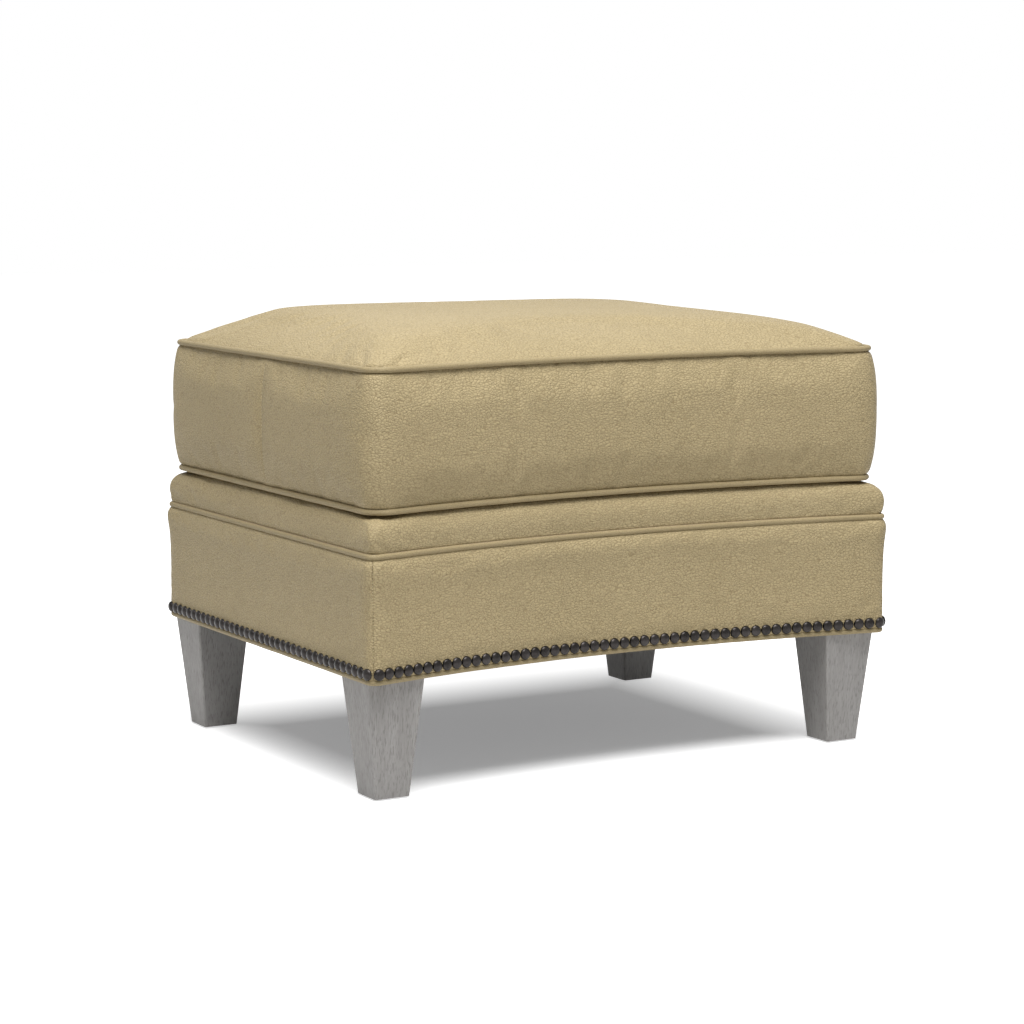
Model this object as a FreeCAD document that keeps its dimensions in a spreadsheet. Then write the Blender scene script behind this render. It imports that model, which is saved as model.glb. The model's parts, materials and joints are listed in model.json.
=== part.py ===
import FreeCAD, Part
import math
import os
from FreeCAD import Vector, Placement, Rotation

# Upholstered footstool with a concave front and a matching convex back.
# Width lies along X, the front faces -Y and Z points up from the floor.
# The origin is on the floor, under the centre of the whole stool.
# A leather band with a nailed lower edge wraps a timber box on four tapered legs.
# A padded roll edges the deck, and a loose boxed cushion lies on it.

doc = FreeCAD.newDocument("Footstool")

# Driving dimensions, in millimetres and degrees
DIMENSIONS = [
    ("outline_width", 711.0, "plan outline, side to side, on the welt lines"),
    ("outline_depth", 554.6, "plan outline, front corner to back corner"),
    ("face_radius", 1524.0, "radius of the curved front and back"),
    ("base_corner", 20.0, "corner radius of the base outline"),
    ("cushion_corner", 31.0, "corner radius of the cushion seams"),
    ("cushion_inset", 8.3, "cushion seams inside the base outline"),
    ("leg_length", 135.3, "timber leg, foot to head"),
    ("leg_foot", 43.9, "side of the square foot"),
    ("leg_head", 70.0, "side of the square head"),
    ("leg_edge", 2.5, "eased upright edges of a leg"),
    ("leg_side_inset", 21.5, "foot inside the side outline"),
    ("leg_front_inset", 34.2, "foot behind the front corner line"),
    ("leg_back_inset", 13.1, "foot before the back corner line"),
    ("glide_height", 2.0, "nylon glide under a foot"),
    ("glide_diameter", 24.0, "nylon glide under a foot"),
    ("bolt_diameter", 8.0, "hanger bolt of a leg"),
    ("bolt_in_leg", 45.0, "hanger bolt, wood screw end"),
    ("bolt_above_leg", 50.0, "hanger bolt, machine screw end"),
    ("rail_height", 141.0, "rails of the box frame"),
    ("rail_thickness", 22.0, "rails of the box frame"),
    ("rail_inset", 3.5, "outer rail face inside the outline"),
    ("block_height", 40.0, "corner blocks"),
    ("block_leg", 105.0, "corner blocks, along each rail"),
    ("stretcher_height", 70.0, "rail across the middle of the frame"),
    ("dowel_diameter", 8.0, "dowels of the rail joints"),
    ("dowel_length", 34.0, "dowels of the rail joints"),
    ("flange", 1.2, "doubled leather flange of a tacked welt"),
    ("welt_radius", 3.4, "leather over piping cord"),
    ("leather", 1.4, "thickness of the hide"),
    ("strap_width", 50.0, "jute webbing"),
    ("strap_thickness", 1.8, "jute webbing"),
    ("burlap", 0.8, "cloth over the webbing"),
    ("tack_strip_width", 8.5, "fibre strip under the padded roll"),
    ("roll_height", 39.8, "padded roll above the base welt"),
    ("roll_width", 45.0, "padded roll, outline to deck pad"),
    ("deck_border", 90.0, "leather border of the deck"),
    ("nail_diameter", 12.6, "head of a decorative nail"),
    ("nail_height", 3.0, "head of a decorative nail"),
    ("nail_pitch", 14.0, "head to head"),
    ("cushion_gap", 0.3, "between the deck and the loose cushion"),
    ("boxing_height", 157.0, "seam to seam, at the welt centres"),
    ("boxing_bulge", 12.5, "boxing beyond the cushion seams"),
    ("crown_height", 41.7, "top of the crown above the upper seam"),
    ("crown_reach", 240.0, "distance over which the crown rises"),
    ("fibre_wrap", 6.0, "polyester wrap round the foam"),
    ("zip_width", 14.0, "opening of the zip in the back boxing"),
    ("zip_length", 520.0, "opening of the zip in the back boxing"),
]

sheet = doc.addObject("Spreadsheet::Sheet", "Dimensions")
for row, (alias, value, note) in enumerate(DIMENSIONS, start=1):
    sheet.set(f"A{row}", alias.replace("_", " "))
    sheet.set(f"B{row}", str(value))
    sheet.set(f"C{row}", note)
    sheet.setAlias(f"B{row}", alias)
doc.recompute()


def dim(alias):
    """A driving dimension, as a plain number."""
    return float(sheet.get(alias))


WIDTH = dim("outline_width")
DEPTH = dim("outline_depth")
RADIUS = dim("face_radius")
BASE_CORNER = dim("base_corner")
CUSHION_CORNER = dim("cushion_corner")
INSET = dim("cushion_inset")
WELT = dim("welt_radius")
LEATHER = dim("leather")
FLANGE = dim("flange")

# Sagitta of the curved faces over the width of the outline
SAGITTA = RADIUS - math.sqrt(RADIUS**2 - (WIDTH / 2) ** 2)

# How far the band stands out, as (height share, distance from the outline):
# it is straight below and flares a little under the upper welt.
BAND_PROFILE = [
    (0.0, 3.2),
    (0.12, 3.2),
    (0.40, 3.2),
    (0.65, 4.0),
    (0.80, 5.7),
    (0.905, 6.5),
    (0.96, 5.4),
    (1.0, 2.4),
]
BAND_FLARE = max(reach for share, reach in BAND_PROFILE)

# Levels above the floor
LEG_BOTTOM = dim("glide_height")
LEG_TOP = LEG_BOTTOM + dim("leg_length")
RAIL_BOTTOM = LEG_TOP + FLANGE
RAIL_TOP = RAIL_BOTTOM + dim("rail_height")
BOTTOM_WELT = LEG_TOP + WELT
BASE_WELT = RAIL_TOP + FLANGE / 2
BAND_BOTTOM = BOTTOM_WELT + WELT
BAND_TOP = BASE_WELT - WELT
ROLL_BOTTOM = BASE_WELT + WELT
DECK_TOP = ROLL_BOTTOM + dim("roll_height")
DECK_UNDER = DECK_TOP - LEATHER
CUSHION_BOTTOM = DECK_TOP + dim("cushion_gap")
LOWER_SEAM = CUSHION_BOTTOM + WELT + dim("cushion_gap")
UPPER_SEAM = LOWER_SEAM + dim("boxing_height")

# Front and back of the outline: the flared band reaches equally far both ways,
# so the origin lies under the middle of the depth.
FLARE_CORNER = BASE_CORNER + BAND_FLARE
CORNER_X = WIDTH / 2 - BASE_CORNER
CORNER_RISE = math.sqrt((RADIUS + BASE_CORNER) ** 2 - CORNER_X**2) - (RADIUS - SAGITTA)
FRONT_REACH = FLARE_CORNER - CORNER_RISE
BACK_REACH = DEPTH + SAGITTA + BAND_FLARE
FRONT_Y = (FRONT_REACH - BACK_REACH) / 2
BACK_Y = FRONT_Y + DEPTH
MIDDLE_Y = FRONT_Y + DEPTH / 2


# Plan outline

def outline(offset, corner, level=0.0):
    """Closed wire of the plan outline, moved out by offset, at a height."""
    half = WIDTH / 2 + offset
    front_radius = RADIUS - offset
    back_radius = RADIUS + offset
    front_centre = Vector(0, FRONT_Y + SAGITTA - RADIUS, level)
    back_centre = Vector(0, BACK_Y + SAGITTA - RADIUS, level)
    x = half - corner
    front_y = front_centre.y + math.sqrt((front_radius + corner) ** 2 - x**2)
    back_y = back_centre.y + math.sqrt((back_radius - corner) ** 2 - x**2)

    def corner_arc(centre, face_centre, face_outside, side):
        """Rounded corner from the side to the curved face: three points."""
        away = centre.sub(face_centre)
        if face_outside:
            away = away.negative()
        away.normalize()
        to_side = Vector(side, 0, 0)
        middle = away.add(to_side)
        middle.normalize()
        return [centre.add(way.multiply(corner)) for way in (to_side, middle, away)]

    front_right = corner_arc(Vector(x, front_y, level), front_centre, True, 1)
    back_right = corner_arc(Vector(x, back_y, level), back_centre, False, 1)
    back_left = corner_arc(Vector(-x, back_y, level), back_centre, False, -1)
    front_left = corner_arc(Vector(-x, front_y, level), front_centre, True, -1)
    front_middle = front_centre.add(Vector(0, front_radius, 0))
    back_middle = back_centre.add(Vector(0, back_radius, 0))

    edges = [
        Part.Arc(front_left[2], front_middle, front_right[2]).toShape(),
        Part.Arc(front_right[2], front_right[1], front_right[0]).toShape(),
        Part.LineSegment(front_right[0], back_right[0]).toShape(),
        Part.Arc(back_right[0], back_right[1], back_right[2]).toShape(),
        Part.Arc(back_right[2], back_middle, back_left[2]).toShape(),
        Part.Arc(back_left[2], back_left[1], back_left[0]).toShape(),
        Part.LineSegment(back_left[0], front_left[0]).toShape(),
        Part.Arc(front_left[0], front_left[1], front_left[2]).toShape(),
    ]
    return Part.Wire(edges)


def base_outline(offset, level=0.0):
    """Outline of the base: its corners are round in step with the offset."""
    return outline(offset, max(BASE_CORNER + offset, 4.0), level)


def cushion_outline(offset, level=0.0):
    """Outline of the cushion, counted from its seams."""
    corner = CUSHION_CORNER + (offset if offset > -15.0 else -15.0 - 0.1 * offset)
    return outline(offset - INSET, corner, level)


def plate(shape_of, offset, low, high):
    """Flat-topped solid under an outline, from one height to another."""
    return Part.Face(shape_of(offset, low)).extrude(Vector(0, 0, high - low))


def ring(shape_of, outer, inner, low, high):
    """Band of even width along an outline."""
    return plate(shape_of, outer, low, high).cut(plate(shape_of, inner, low, high))


def skin_loft(shape_of, profile):
    """Solid through outlines at (height, offset) pairs."""
    wires = [shape_of(reach, level) for level, reach in profile]
    return Part.makeLoft(wires, True, False)


def inner_profile(profile, thickness, cap_drop=0.0):
    """The profile one hide thickness inside. Its ends keep their heights."""
    inside = []
    last = len(profile) - 1
    for index, (level, reach) in enumerate(profile):
        before = profile[max(index - 1, 0)]
        after = profile[min(index + 1, last)]
        rise = after[0] - before[0]
        run = after[1] - before[1]
        length = math.hypot(rise, run)
        if index == 0:
            inside.append((level, reach - thickness))
        elif index == last:
            inside.append((level - cap_drop, reach - thickness * rise / length))
        else:
            inside.append((level - thickness * -run / length, reach - thickness * rise / length))
    return inside


def welt(shape_of, centre, reach=0.0):
    """Round leather piping along an outline."""
    path = shape_of(reach, centre)
    start = path.Edges[0].valueAt(path.Edges[0].FirstParameter)
    way = path.Edges[0].tangentAt(path.Edges[0].FirstParameter)
    section = Part.Wire(Part.makeCircle(WELT, start, way))
    pipe = path.makePipeShell([section], True, False)
    return pipe


def block(low_corner, high_corner):
    """Upright box between two corners."""
    size = high_corner.sub(low_corner)
    return Part.makeBox(size.x, size.y, size.z, low_corner)


def one_solid(shape):
    """The shape with split faces joined again."""
    return shape.removeSplitter()


# Document objects

subparts = []


def keep(node, label=None):
    """Names a finished object after its file and remembers it."""
    if label:
        node.Label = label
    subparts.append(node)
    return node


def feature(name, shape):
    """A sub-part whose form is made from the sheet's sizes in code."""
    node = doc.addObject("Part::Feature", name)
    node.Shape = shape
    node.Placement = Placement(Vector(0, 0, 0), Rotation())
    return keep(node, name)


def cylinder(name, radius, height, position):
    """A bound cylinder: radius and height are expressions on the sheet."""
    node = doc.addObject("Part::Cylinder", name)
    node.setExpression("Radius", radius)
    node.setExpression("Height", height)
    node.Placement.Base = position
    return node


def group(name, members):
    """Identical pieces in one node, as separate solids."""
    node = doc.addObject("Part::Compound", name)
    node.Links = members
    return keep(node, name)


# Legs, their glides and their bolts

LEG_SIDE = WIDTH / 2 - dim("leg_side_inset") - dim("leg_foot") / 2
LEG_FRONT = FRONT_Y + dim("leg_front_inset") + dim("leg_foot") / 2
LEG_BACK = BACK_Y - dim("leg_back_inset") - dim("leg_foot") / 2
CORNERS = {
    "front_left": (-1, LEG_FRONT),
    "front_right": (1, LEG_FRONT),
    "back_left": (-1, LEG_BACK),
    "back_right": (1, LEG_BACK),
}


def tapered_leg(name, x, y):
    """Square leg that narrows to the floor, with a blind hole for its bolt."""
    body = doc.addObject("PartDesign::Body", name)
    taper = body.newObject("PartDesign::AdditiveWedge", f"{name}_taper")
    # A wedge grows along its own Y, so it is turned upright here.
    for low, high, side in (
        ("Xmin", "Xmax", "leg_foot"), ("Zmin", "Zmax", "leg_foot"),
        ("X2min", "X2max", "leg_head"), ("Z2min", "Z2max", "leg_head")):
        taper.setExpression(low, f"-Dimensions.{side} / 2")
        taper.setExpression(high, f"Dimensions.{side} / 2")
    taper.setExpression("Ymin", "0 mm")
    taper.setExpression("Ymax", "Dimensions.leg_length")
    taper.Placement = Placement(Vector(0, 0, 0), Rotation(Vector(1, 0, 0), 90))
    doc.recompute()

    upright = []
    for number, edge in enumerate(taper.Shape.Edges, start=1):
        ends = [vertex.Point for vertex in edge.Vertexes]
        if abs(ends[0].z - ends[1].z) > dim("leg_length") / 2:
            upright.append(f"Edge{number}")
    easing = body.newObject("PartDesign::Fillet", f"{name}_easing")
    easing.Base = (taper, upright)
    easing.setExpression("Radius", "Dimensions.leg_edge")
    doc.recompute()

    hole = body.newObject("PartDesign::SubtractiveCylinder", f"{name}_bolt_hole")
    hole.setExpression("Radius", "Dimensions.bolt_diameter / 2")
    hole.setExpression("Height", "Dimensions.bolt_in_leg")
    hole.setExpression(".Placement.Base.z", "Dimensions.leg_length - Dimensions.bolt_in_leg")
    doc.recompute()
    body.Tip = hole
    body.Placement = Placement(Vector(x, y, LEG_BOTTOM), Rotation())
    return keep(body, name)


glides = []
bolts = []
nuts = []
NUT_FLANGE = 1.6
NUT_BARREL = 12.0
NUT_WALL = 1.2
NUT_REACH = 11.0
BLOCK_TOP = RAIL_BOTTOM + dim("block_height")

for corner_name, (side, leg_y) in CORNERS.items():
    centre = Vector(side * LEG_SIDE, leg_y, 0)
    tapered_leg(f"{corner_name}_leg", centre.x, centre.y)
    glides.append(cylinder(
        f"glide_{corner_name}", "Dimensions.glide_diameter / 2", "Dimensions.glide_height", centre))
    bolts.append(cylinder(
        f"bolt_{corner_name}", "Dimensions.bolt_diameter / 2",
        "Dimensions.bolt_in_leg + Dimensions.bolt_above_leg",
        centre.add(Vector(0, 0, LEG_TOP - dim("bolt_in_leg")))))

    plate_disc = Part.makeCylinder(NUT_REACH, NUT_FLANGE, centre.add(Vector(0, 0, BLOCK_TOP)))
    barrel_radius = dim("bolt_diameter") / 2 + NUT_WALL
    barrel = Part.makeCylinder(
        barrel_radius, NUT_BARREL, centre.add(Vector(0, 0, BLOCK_TOP - NUT_BARREL)))
    bore_height = NUT_BARREL + NUT_FLANGE
    bore = Part.makeCylinder(
        dim("bolt_diameter") / 2, bore_height, centre.add(Vector(0, 0, BLOCK_TOP - NUT_BARREL)))
    nut = doc.addObject("Part::Feature", f"nut_{corner_name}")
    nut.Shape = one_solid(plate_disc.fuse(barrel)).cut(bore)
    nuts.append(nut)

group("leg_glides", glides)
group("hanger_bolts", bolts)
group("tee_nuts", nuts)


# Timber box frame

RAIL_OUT = -dim("rail_inset")
RAIL_IN = RAIL_OUT - dim("rail_thickness")
JOINT_X = WIDTH / 2 + RAIL_IN
FAR = WIDTH

frame_ring = ring(base_outline, RAIL_OUT, RAIL_IN, RAIL_BOTTOM, RAIL_TOP)

dowel_radius = dim("dowel_diameter") / 2
dowel_levels = [RAIL_BOTTOM + dim("rail_height") * share for share in (0.42, 0.80)]
rail_centre = (RAIL_OUT + RAIL_IN) / 2
dowel_front_y = FRONT_Y + SAGITTA - RADIUS + math.sqrt((RADIUS - rail_centre) ** 2 - JOINT_X**2)
dowel_back_y = BACK_Y + SAGITTA - RADIUS + math.sqrt((RADIUS + rail_centre) ** 2 - JOINT_X**2)
dowels = []
for side in (-1, 1):
    for joint_y in (dowel_front_y, dowel_back_y):
        for level in dowel_levels:
            start = Vector(side * JOINT_X - dim("dowel_length") / 2, joint_y, level)
            dowels.append(Part.makeCylinder(dowel_radius, dim("dowel_length"), start, Vector(1, 0, 0)))
all_dowels = Part.makeCompound(dowels)

between = block(Vector(-JOINT_X, -FAR, 0), Vector(JOINT_X, MIDDLE_Y, FAR))
behind = block(Vector(-JOINT_X, MIDDLE_Y, 0), Vector(JOINT_X, FAR, FAR))
at_left = block(Vector(-FAR, -FAR, 0), Vector(-JOINT_X, FAR, FAR))
at_right = block(Vector(JOINT_X, -FAR, 0), Vector(FAR, FAR, FAR))
for rail_name, region in (
    ("front_rail", between), ("back_rail", behind), ("left_rail", at_left), ("right_rail", at_right)):
    feature(rail_name, frame_ring.common(region).cut(all_dowels))
feature("frame_dowels", all_dowels)


def corner_block(corner_name, side, leg_y):
    """Triangular block in a corner of the frame, bored for the leg's bolt."""
    toward = 1 if leg_y < MIDDLE_Y else -1
    if toward > 0:
        rail_y = FRONT_Y + SAGITTA - RADIUS + math.sqrt((RADIUS - RAIL_IN) ** 2 - JOINT_X**2)
    else:
        rail_y = BACK_Y + SAGITTA - RADIUS + math.sqrt((RADIUS + RAIL_IN) ** 2 - JOINT_X**2)
    inner_x = side * JOINT_X
    reach = dim("block_leg")
    beyond = 2 * reach
    points = [
        Vector(inner_x + side * beyond, rail_y - toward * beyond, RAIL_BOTTOM),
        Vector(inner_x - side * (reach + beyond), rail_y - toward * beyond, RAIL_BOTTOM),
        Vector(inner_x + side * beyond, rail_y + toward * (reach + beyond), RAIL_BOTTOM),
    ]
    triangle = Part.Face(Part.makePolygon(points + points[:1]))
    prism = triangle.extrude(Vector(0, 0, dim("block_height")))
    solid = prism.common(plate(base_outline, RAIL_IN, RAIL_BOTTOM, BLOCK_TOP))
    centre = Vector(side * LEG_SIDE, leg_y, 0)
    bolt_hole = Part.makeCylinder(
        dim("bolt_diameter") / 2, dim("block_height"), centre.add(Vector(0, 0, RAIL_BOTTOM)))
    nut_seat = Part.makeCylinder(
        dim("bolt_diameter") / 2 + NUT_WALL, NUT_BARREL, centre.add(Vector(0, 0, BLOCK_TOP - NUT_BARREL)))
    feature(f"{corner_name}_block", solid.cut(bolt_hole).cut(nut_seat))


for corner_name, (side, leg_y) in CORNERS.items():
    corner_block(corner_name, side, leg_y)

stretcher_half = dim("rail_thickness") / 2
stretcher_space = block(
    Vector(-stretcher_half, -FAR, RAIL_BOTTOM),
    Vector(stretcher_half, FAR, RAIL_BOTTOM + dim("stretcher_height")))
inside_frame = plate(base_outline, RAIL_IN, RAIL_BOTTOM, RAIL_TOP)
feature("centre_stretcher", inside_frame.common(stretcher_space))


# Interlaced webbing over the frame

STRAP = dim("strap_thickness")
STRAP_HALF = dim("strap_width") / 2
STRAP_LIFT = STRAP + 0.2
STRAP_END = -(dim("rail_inset") + dim("tack_strip_width") + 1.0)
LONG_STRAPS = [-240.0, -120.0, 0.0, 120.0, 240.0]
CROSS_STRAPS = [MIDDLE_Y + SAGITTA + step for step in (-180.0, -60.0, 60.0, 180.0)]
STRAP_SLOPE = STRAP_HALF + 18.0


def strap(name, lengthwise, place, crossings, first_is_high):
    """Webbing strap that passes over and under the straps it crosses."""
    stations = [(-FAR, 0.0)]
    for index, crossing in enumerate(crossings):
        high = (index % 2 == 0) == first_is_high
        if high:
            stations += [
                (crossing - STRAP_SLOPE, 0.0),
                (crossing - STRAP_HALF, STRAP_LIFT),
                (crossing + STRAP_HALF, STRAP_LIFT),
                (crossing + STRAP_SLOPE, 0.0),
            ]
    stations.append((FAR, 0.0))
    top = [(along, lift + STRAP) for along, lift in reversed(stations)]
    section = []
    for along, lift in stations + top:
        if lengthwise:
            section.append(Vector(place - STRAP_HALF, along, RAIL_TOP + lift))
        else:
            section.append(Vector(along, place - STRAP_HALF, RAIL_TOP + lift))
    across = Vector(dim("strap_width"), 0, 0) if lengthwise else Vector(0, dim("strap_width"), 0)
    band = Part.Face(Part.makePolygon(section + section[:1])).extrude(across)
    trim = plate(base_outline, STRAP_END, RAIL_TOP - 1.0, RAIL_TOP + 10.0)
    feature(name, band.common(trim))


for index, place in enumerate(LONG_STRAPS):
    strap(f"webbing_long_{index + 1}", True, place, CROSS_STRAPS, index % 2 == 0)
for index, place in enumerate(CROSS_STRAPS):
    strap(f"webbing_cross_{index + 1}", False, place, LONG_STRAPS, index % 2 == 1)


# Welts tacked to the frame

WELT_TACK = 12.0
BOTTOM_TACK = 15.0
base_flange = ring(base_outline, 0.0, -WELT_TACK, RAIL_TOP, RAIL_TOP + FLANGE)
feature("base_welt", welt(base_outline, BASE_WELT).fuse(base_flange))
bottom_flange = ring(base_outline, 0.0, -BOTTOM_TACK, LEG_TOP, RAIL_BOTTOM)
feature("bottom_welt", welt(base_outline, BOTTOM_WELT).fuse(bottom_flange))

dust_cover = plate(base_outline, -BOTTOM_TACK, LEG_TOP, RAIL_BOTTOM)
for side, leg_y in CORNERS.values():
    dust_cover = dust_cover.cut(
        Part.makeCylinder(dim("bolt_diameter") / 2, FLANGE, Vector(side * LEG_SIDE, leg_y, LEG_TOP)))
feature("dust_cover", dust_cover)


# Padded band with a seam on every corner

BAND_HEIGHT = BAND_TOP - BAND_BOTTOM
band_line = [(BAND_BOTTOM + share * BAND_HEIGHT, reach) for share, reach in BAND_PROFILE]
band_outer = skin_loft(base_outline, band_line)
band_inner = skin_loft(base_outline, inner_profile(band_line, LEATHER))
frame_core = plate(base_outline, RAIL_OUT, BAND_BOTTOM, BAND_TOP)
feature("band_padding", band_inner.cut(frame_core))
band_hide = band_outer.cut(band_inner)

SEAM_REACH = 60.0


def seam_line(side, corner_y, back_way):
    """Outer and inner end of a corner's seam, at 45 degrees seen from above."""
    x = side * WIDTH / 2
    outer_end = (x + side * SEAM_REACH, corner_y + back_way * SEAM_REACH)
    inner_end = (x - side * SEAM_REACH, corner_y - back_way * SEAM_REACH)
    return outer_end, inner_end


def panel_region(first_seam, second_seam):
    """Upright region between two corner seams and the middle of the plan."""
    ends = [first_seam[0], second_seam[0], second_seam[1], (0.0, MIDDLE_Y), first_seam[1]]
    points = [Vector(x, y, BAND_BOTTOM) for x, y in ends]
    return Part.Face(Part.makePolygon(points + points[:1])).extrude(Vector(0, 0, BAND_HEIGHT))


front_left_seam = seam_line(-1, FRONT_Y, -1)
front_right_seam = seam_line(1, FRONT_Y, -1)
back_right_seam = seam_line(1, BACK_Y, 1)
back_left_seam = seam_line(-1, BACK_Y, 1)
panels = {
    "band_front": panel_region(front_left_seam, front_right_seam),
    "band_right": panel_region(front_right_seam, back_right_seam),
    "band_back": panel_region(back_right_seam, back_left_seam),
    "band_left": panel_region(back_left_seam, front_left_seam),
}
for panel_name, region in panels.items():
    feature(panel_name, band_hide.common(region))


# Decorative nails, side by side just above the bottom welt

NAIL_SIDES = 8
NAIL_RIM = dim("nail_diameter") / 2
NAIL_CROWN = 0.55 * NAIL_RIM
NAIL_LEVEL = BAND_BOTTOM + NAIL_RIM - 0.4
NAIL_REACH = 3.4


def nail_head():
    """Faceted dome: a wide rim on the plane z = 0 and a smaller crown."""
    rings = []
    for radius, level in ((NAIL_RIM, 0.0), (NAIL_CROWN, dim("nail_height"))):
        turns = [2 * math.pi * (step + 0.5) / NAIL_SIDES for step in range(NAIL_SIDES)]
        rings.append([Vector(radius * math.cos(turn), radius * math.sin(turn), level) for turn in turns])
    rim, crown = rings
    faces = [Part.Face(Part.makePolygon(ring + ring[:1])) for ring in rings]
    for step in range(NAIL_SIDES):
        after = (step + 1) % NAIL_SIDES
        quad = [rim[step], rim[after], crown[after], crown[step]]
        faces.append(Part.Face(Part.makePolygon(quad + quad[:1])))
    solid = Part.makeSolid(Part.makeShell(faces))
    return solid if solid.Volume > 0 else solid.reversed()


def point_along(path, distance):
    """Point and direction at a distance along a closed path."""
    distance %= path.Length
    for edge in path.Edges:
        if distance <= edge.Length:
            at = edge.getParameterByLength(distance)
            return edge.valueAt(at), edge.tangentAt(at)
        distance -= edge.Length
    raise ValueError("the distance is longer than the path")


def set_nails(path, start, length):
    """Heads between two corner seams, with half a pitch left at each seam."""
    count = round(length / dim("nail_pitch"))
    heads = []
    for index in range(count):
        place, along = point_along(path, start + (index + 0.5) * length / count)
        outward = along.cross(Vector(0, 0, 1))
        head = nail_head()
        head.Placement = Placement(place, Rotation(along, Vector(0, 0, 1), outward, "ZYX"))
        heads.append(head)
    return heads


nail_path = base_outline(NAIL_REACH, NAIL_LEVEL)
edge_lengths = [edge.Length for edge in nail_path.Edges]
half_corner = edge_lengths[1] / 2
nails = []
seam_at = -half_corner
for face in (0, 2, 4, 6):
    panel_length = edge_lengths[face] + 2 * half_corner
    nails += set_nails(nail_path, seam_at, panel_length)
    seam_at += panel_length
feature("nail_trim", Part.makeCompound(nails))


# Deck: burlap, padded roll, pad and covers

BURLAP_LOW = ROLL_BOTTOM
BURLAP_TOP = BURLAP_LOW + dim("burlap")
strip_in = RAIL_OUT - dim("tack_strip_width")
feature("tack_strip", ring(base_outline, RAIL_OUT, strip_in, RAIL_TOP + FLANGE, BURLAP_LOW))
feature("deck_burlap", plate(base_outline, RAIL_OUT, BURLAP_LOW, BURLAP_TOP))

roll_line = [
    (ROLL_BOTTOM, 0.4),
    (ROLL_BOTTOM + 0.17 * dim("roll_height"), 1.6),
    (ROLL_BOTTOM + 0.37 * dim("roll_height"), 2.0),
    (ROLL_BOTTOM + 0.60 * dim("roll_height"), 1.2),
    (ROLL_BOTTOM + 0.80 * dim("roll_height"), -1.5),
    (ROLL_BOTTOM + 0.94 * dim("roll_height"), -6.5),
    (DECK_TOP, -14.0),
]
roll_outer = skin_loft(base_outline, roll_line)
roll_inner = skin_loft(base_outline, inner_profile(roll_line, LEATHER, LEATHER))
deck_hole = plate(base_outline, -dim("roll_width"), BURLAP_TOP, DECK_TOP)
border_hole = plate(base_outline, -dim("deck_border"), ROLL_BOTTOM, DECK_TOP)
above_burlap = block(Vector(-FAR, -FAR, BURLAP_TOP), Vector(FAR, FAR, DECK_TOP))
feature("roll_filling", roll_inner.common(above_burlap).cut(deck_hole))
feature("roll_cover", roll_outer.cut(roll_inner).cut(border_hole))
feature("deck_pad", plate(base_outline, -dim("roll_width"), BURLAP_TOP, DECK_UNDER))
feature("deck_cover", plate(base_outline, -dim("deck_border"), DECK_UNDER, DECK_TOP))


# Loose cushion: boxed, welted and crowned

BULGE = dim("boxing_bulge")
CROWN = dim("crown_height")
CROWN_REACH = dim("crown_reach")
CROWN_POWER = 4.3
SEAM_FOLD = 4.9
BOX_LOW = LOWER_SEAM + WELT
BOX_TOP = UPPER_SEAM - WELT
BOX_HEIGHT = BOX_TOP - BOX_LOW
BOX_START = 1.3

box_line = []
for share in (0.0, 0.08, 0.22, 0.5, 0.78, 0.92, 1.0):
    swell = 1.0 - abs(2 * share - 1) ** 2.4
    box_line.append((BOX_LOW + share * BOX_HEIGHT, BOX_START + (BULGE - BOX_START) * swell))
box_outer = skin_loft(cushion_outline, box_line)
box_inner = skin_loft(cushion_outline, inner_profile(box_line, LEATHER))


def crown_level(distance):
    """Height of the crown at a distance inside the upper seam."""
    rise = 1.0 - max(1.0 - distance / CROWN_REACH, 0.0) ** CROWN_POWER
    return UPPER_SEAM + 0.75 * WELT + CROWN * rise


crown_line = [(UPPER_SEAM, -(WELT + 0.1)), (crown_level(2.0), -(WELT + 2.0))]
for distance in (12.0, 25.0, 45.0, 75.0, 115.0, 165.0, 200.0):
    crown_line.append((crown_level(distance), -distance))
crown_outer = skin_loft(cushion_outline, crown_line)
crown_inner = skin_loft(cushion_outline, inner_profile(crown_line, LEATHER, LEATHER))

feature("cushion_top_panel", crown_outer.cut(crown_inner))

pan_outer = plate(cushion_outline, -(WELT + 0.1), CUSHION_BOTTOM, LOWER_SEAM)
pan_inner = plate(cushion_outline, -SEAM_FOLD, CUSHION_BOTTOM + LEATHER, LOWER_SEAM)
feature("cushion_bottom_panel", pan_outer.cut(pan_inner))

upper_fold = ring(cushion_outline, 0.0, -SEAM_FOLD, BOX_TOP, UPPER_SEAM)
lower_fold = ring(cushion_outline, 0.0, -SEAM_FOLD, LOWER_SEAM, BOX_LOW)
feature("cushion_top_welt", welt(cushion_outline, UPPER_SEAM).fuse(upper_fold))
feature("cushion_bottom_welt", welt(cushion_outline, LOWER_SEAM).fuse(lower_fold))

# The boxing is joined half way along each side. The zip is in its back half.
box_hide = box_outer.cut(box_inner)
box_front = block(Vector(-FAR, -FAR, 0), Vector(FAR, MIDDLE_Y, 2 * FAR))
box_back = block(Vector(-FAR, MIDDLE_Y, 0), Vector(FAR, FAR, 2 * FAR))
ZIP_MIDDLE = (BOX_LOW + BOX_TOP) / 2
zip_half = dim("zip_width") / 2
zip_space = block(
    Vector(-dim("zip_length") / 2, MIDDLE_Y, ZIP_MIDDLE - zip_half),
    Vector(dim("zip_length") / 2, FAR, ZIP_MIDDLE + zip_half))
feature("cushion_front_band", box_hide.common(box_front))
feature("cushion_back_band", box_hide.common(box_back).cut(zip_space))

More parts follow.
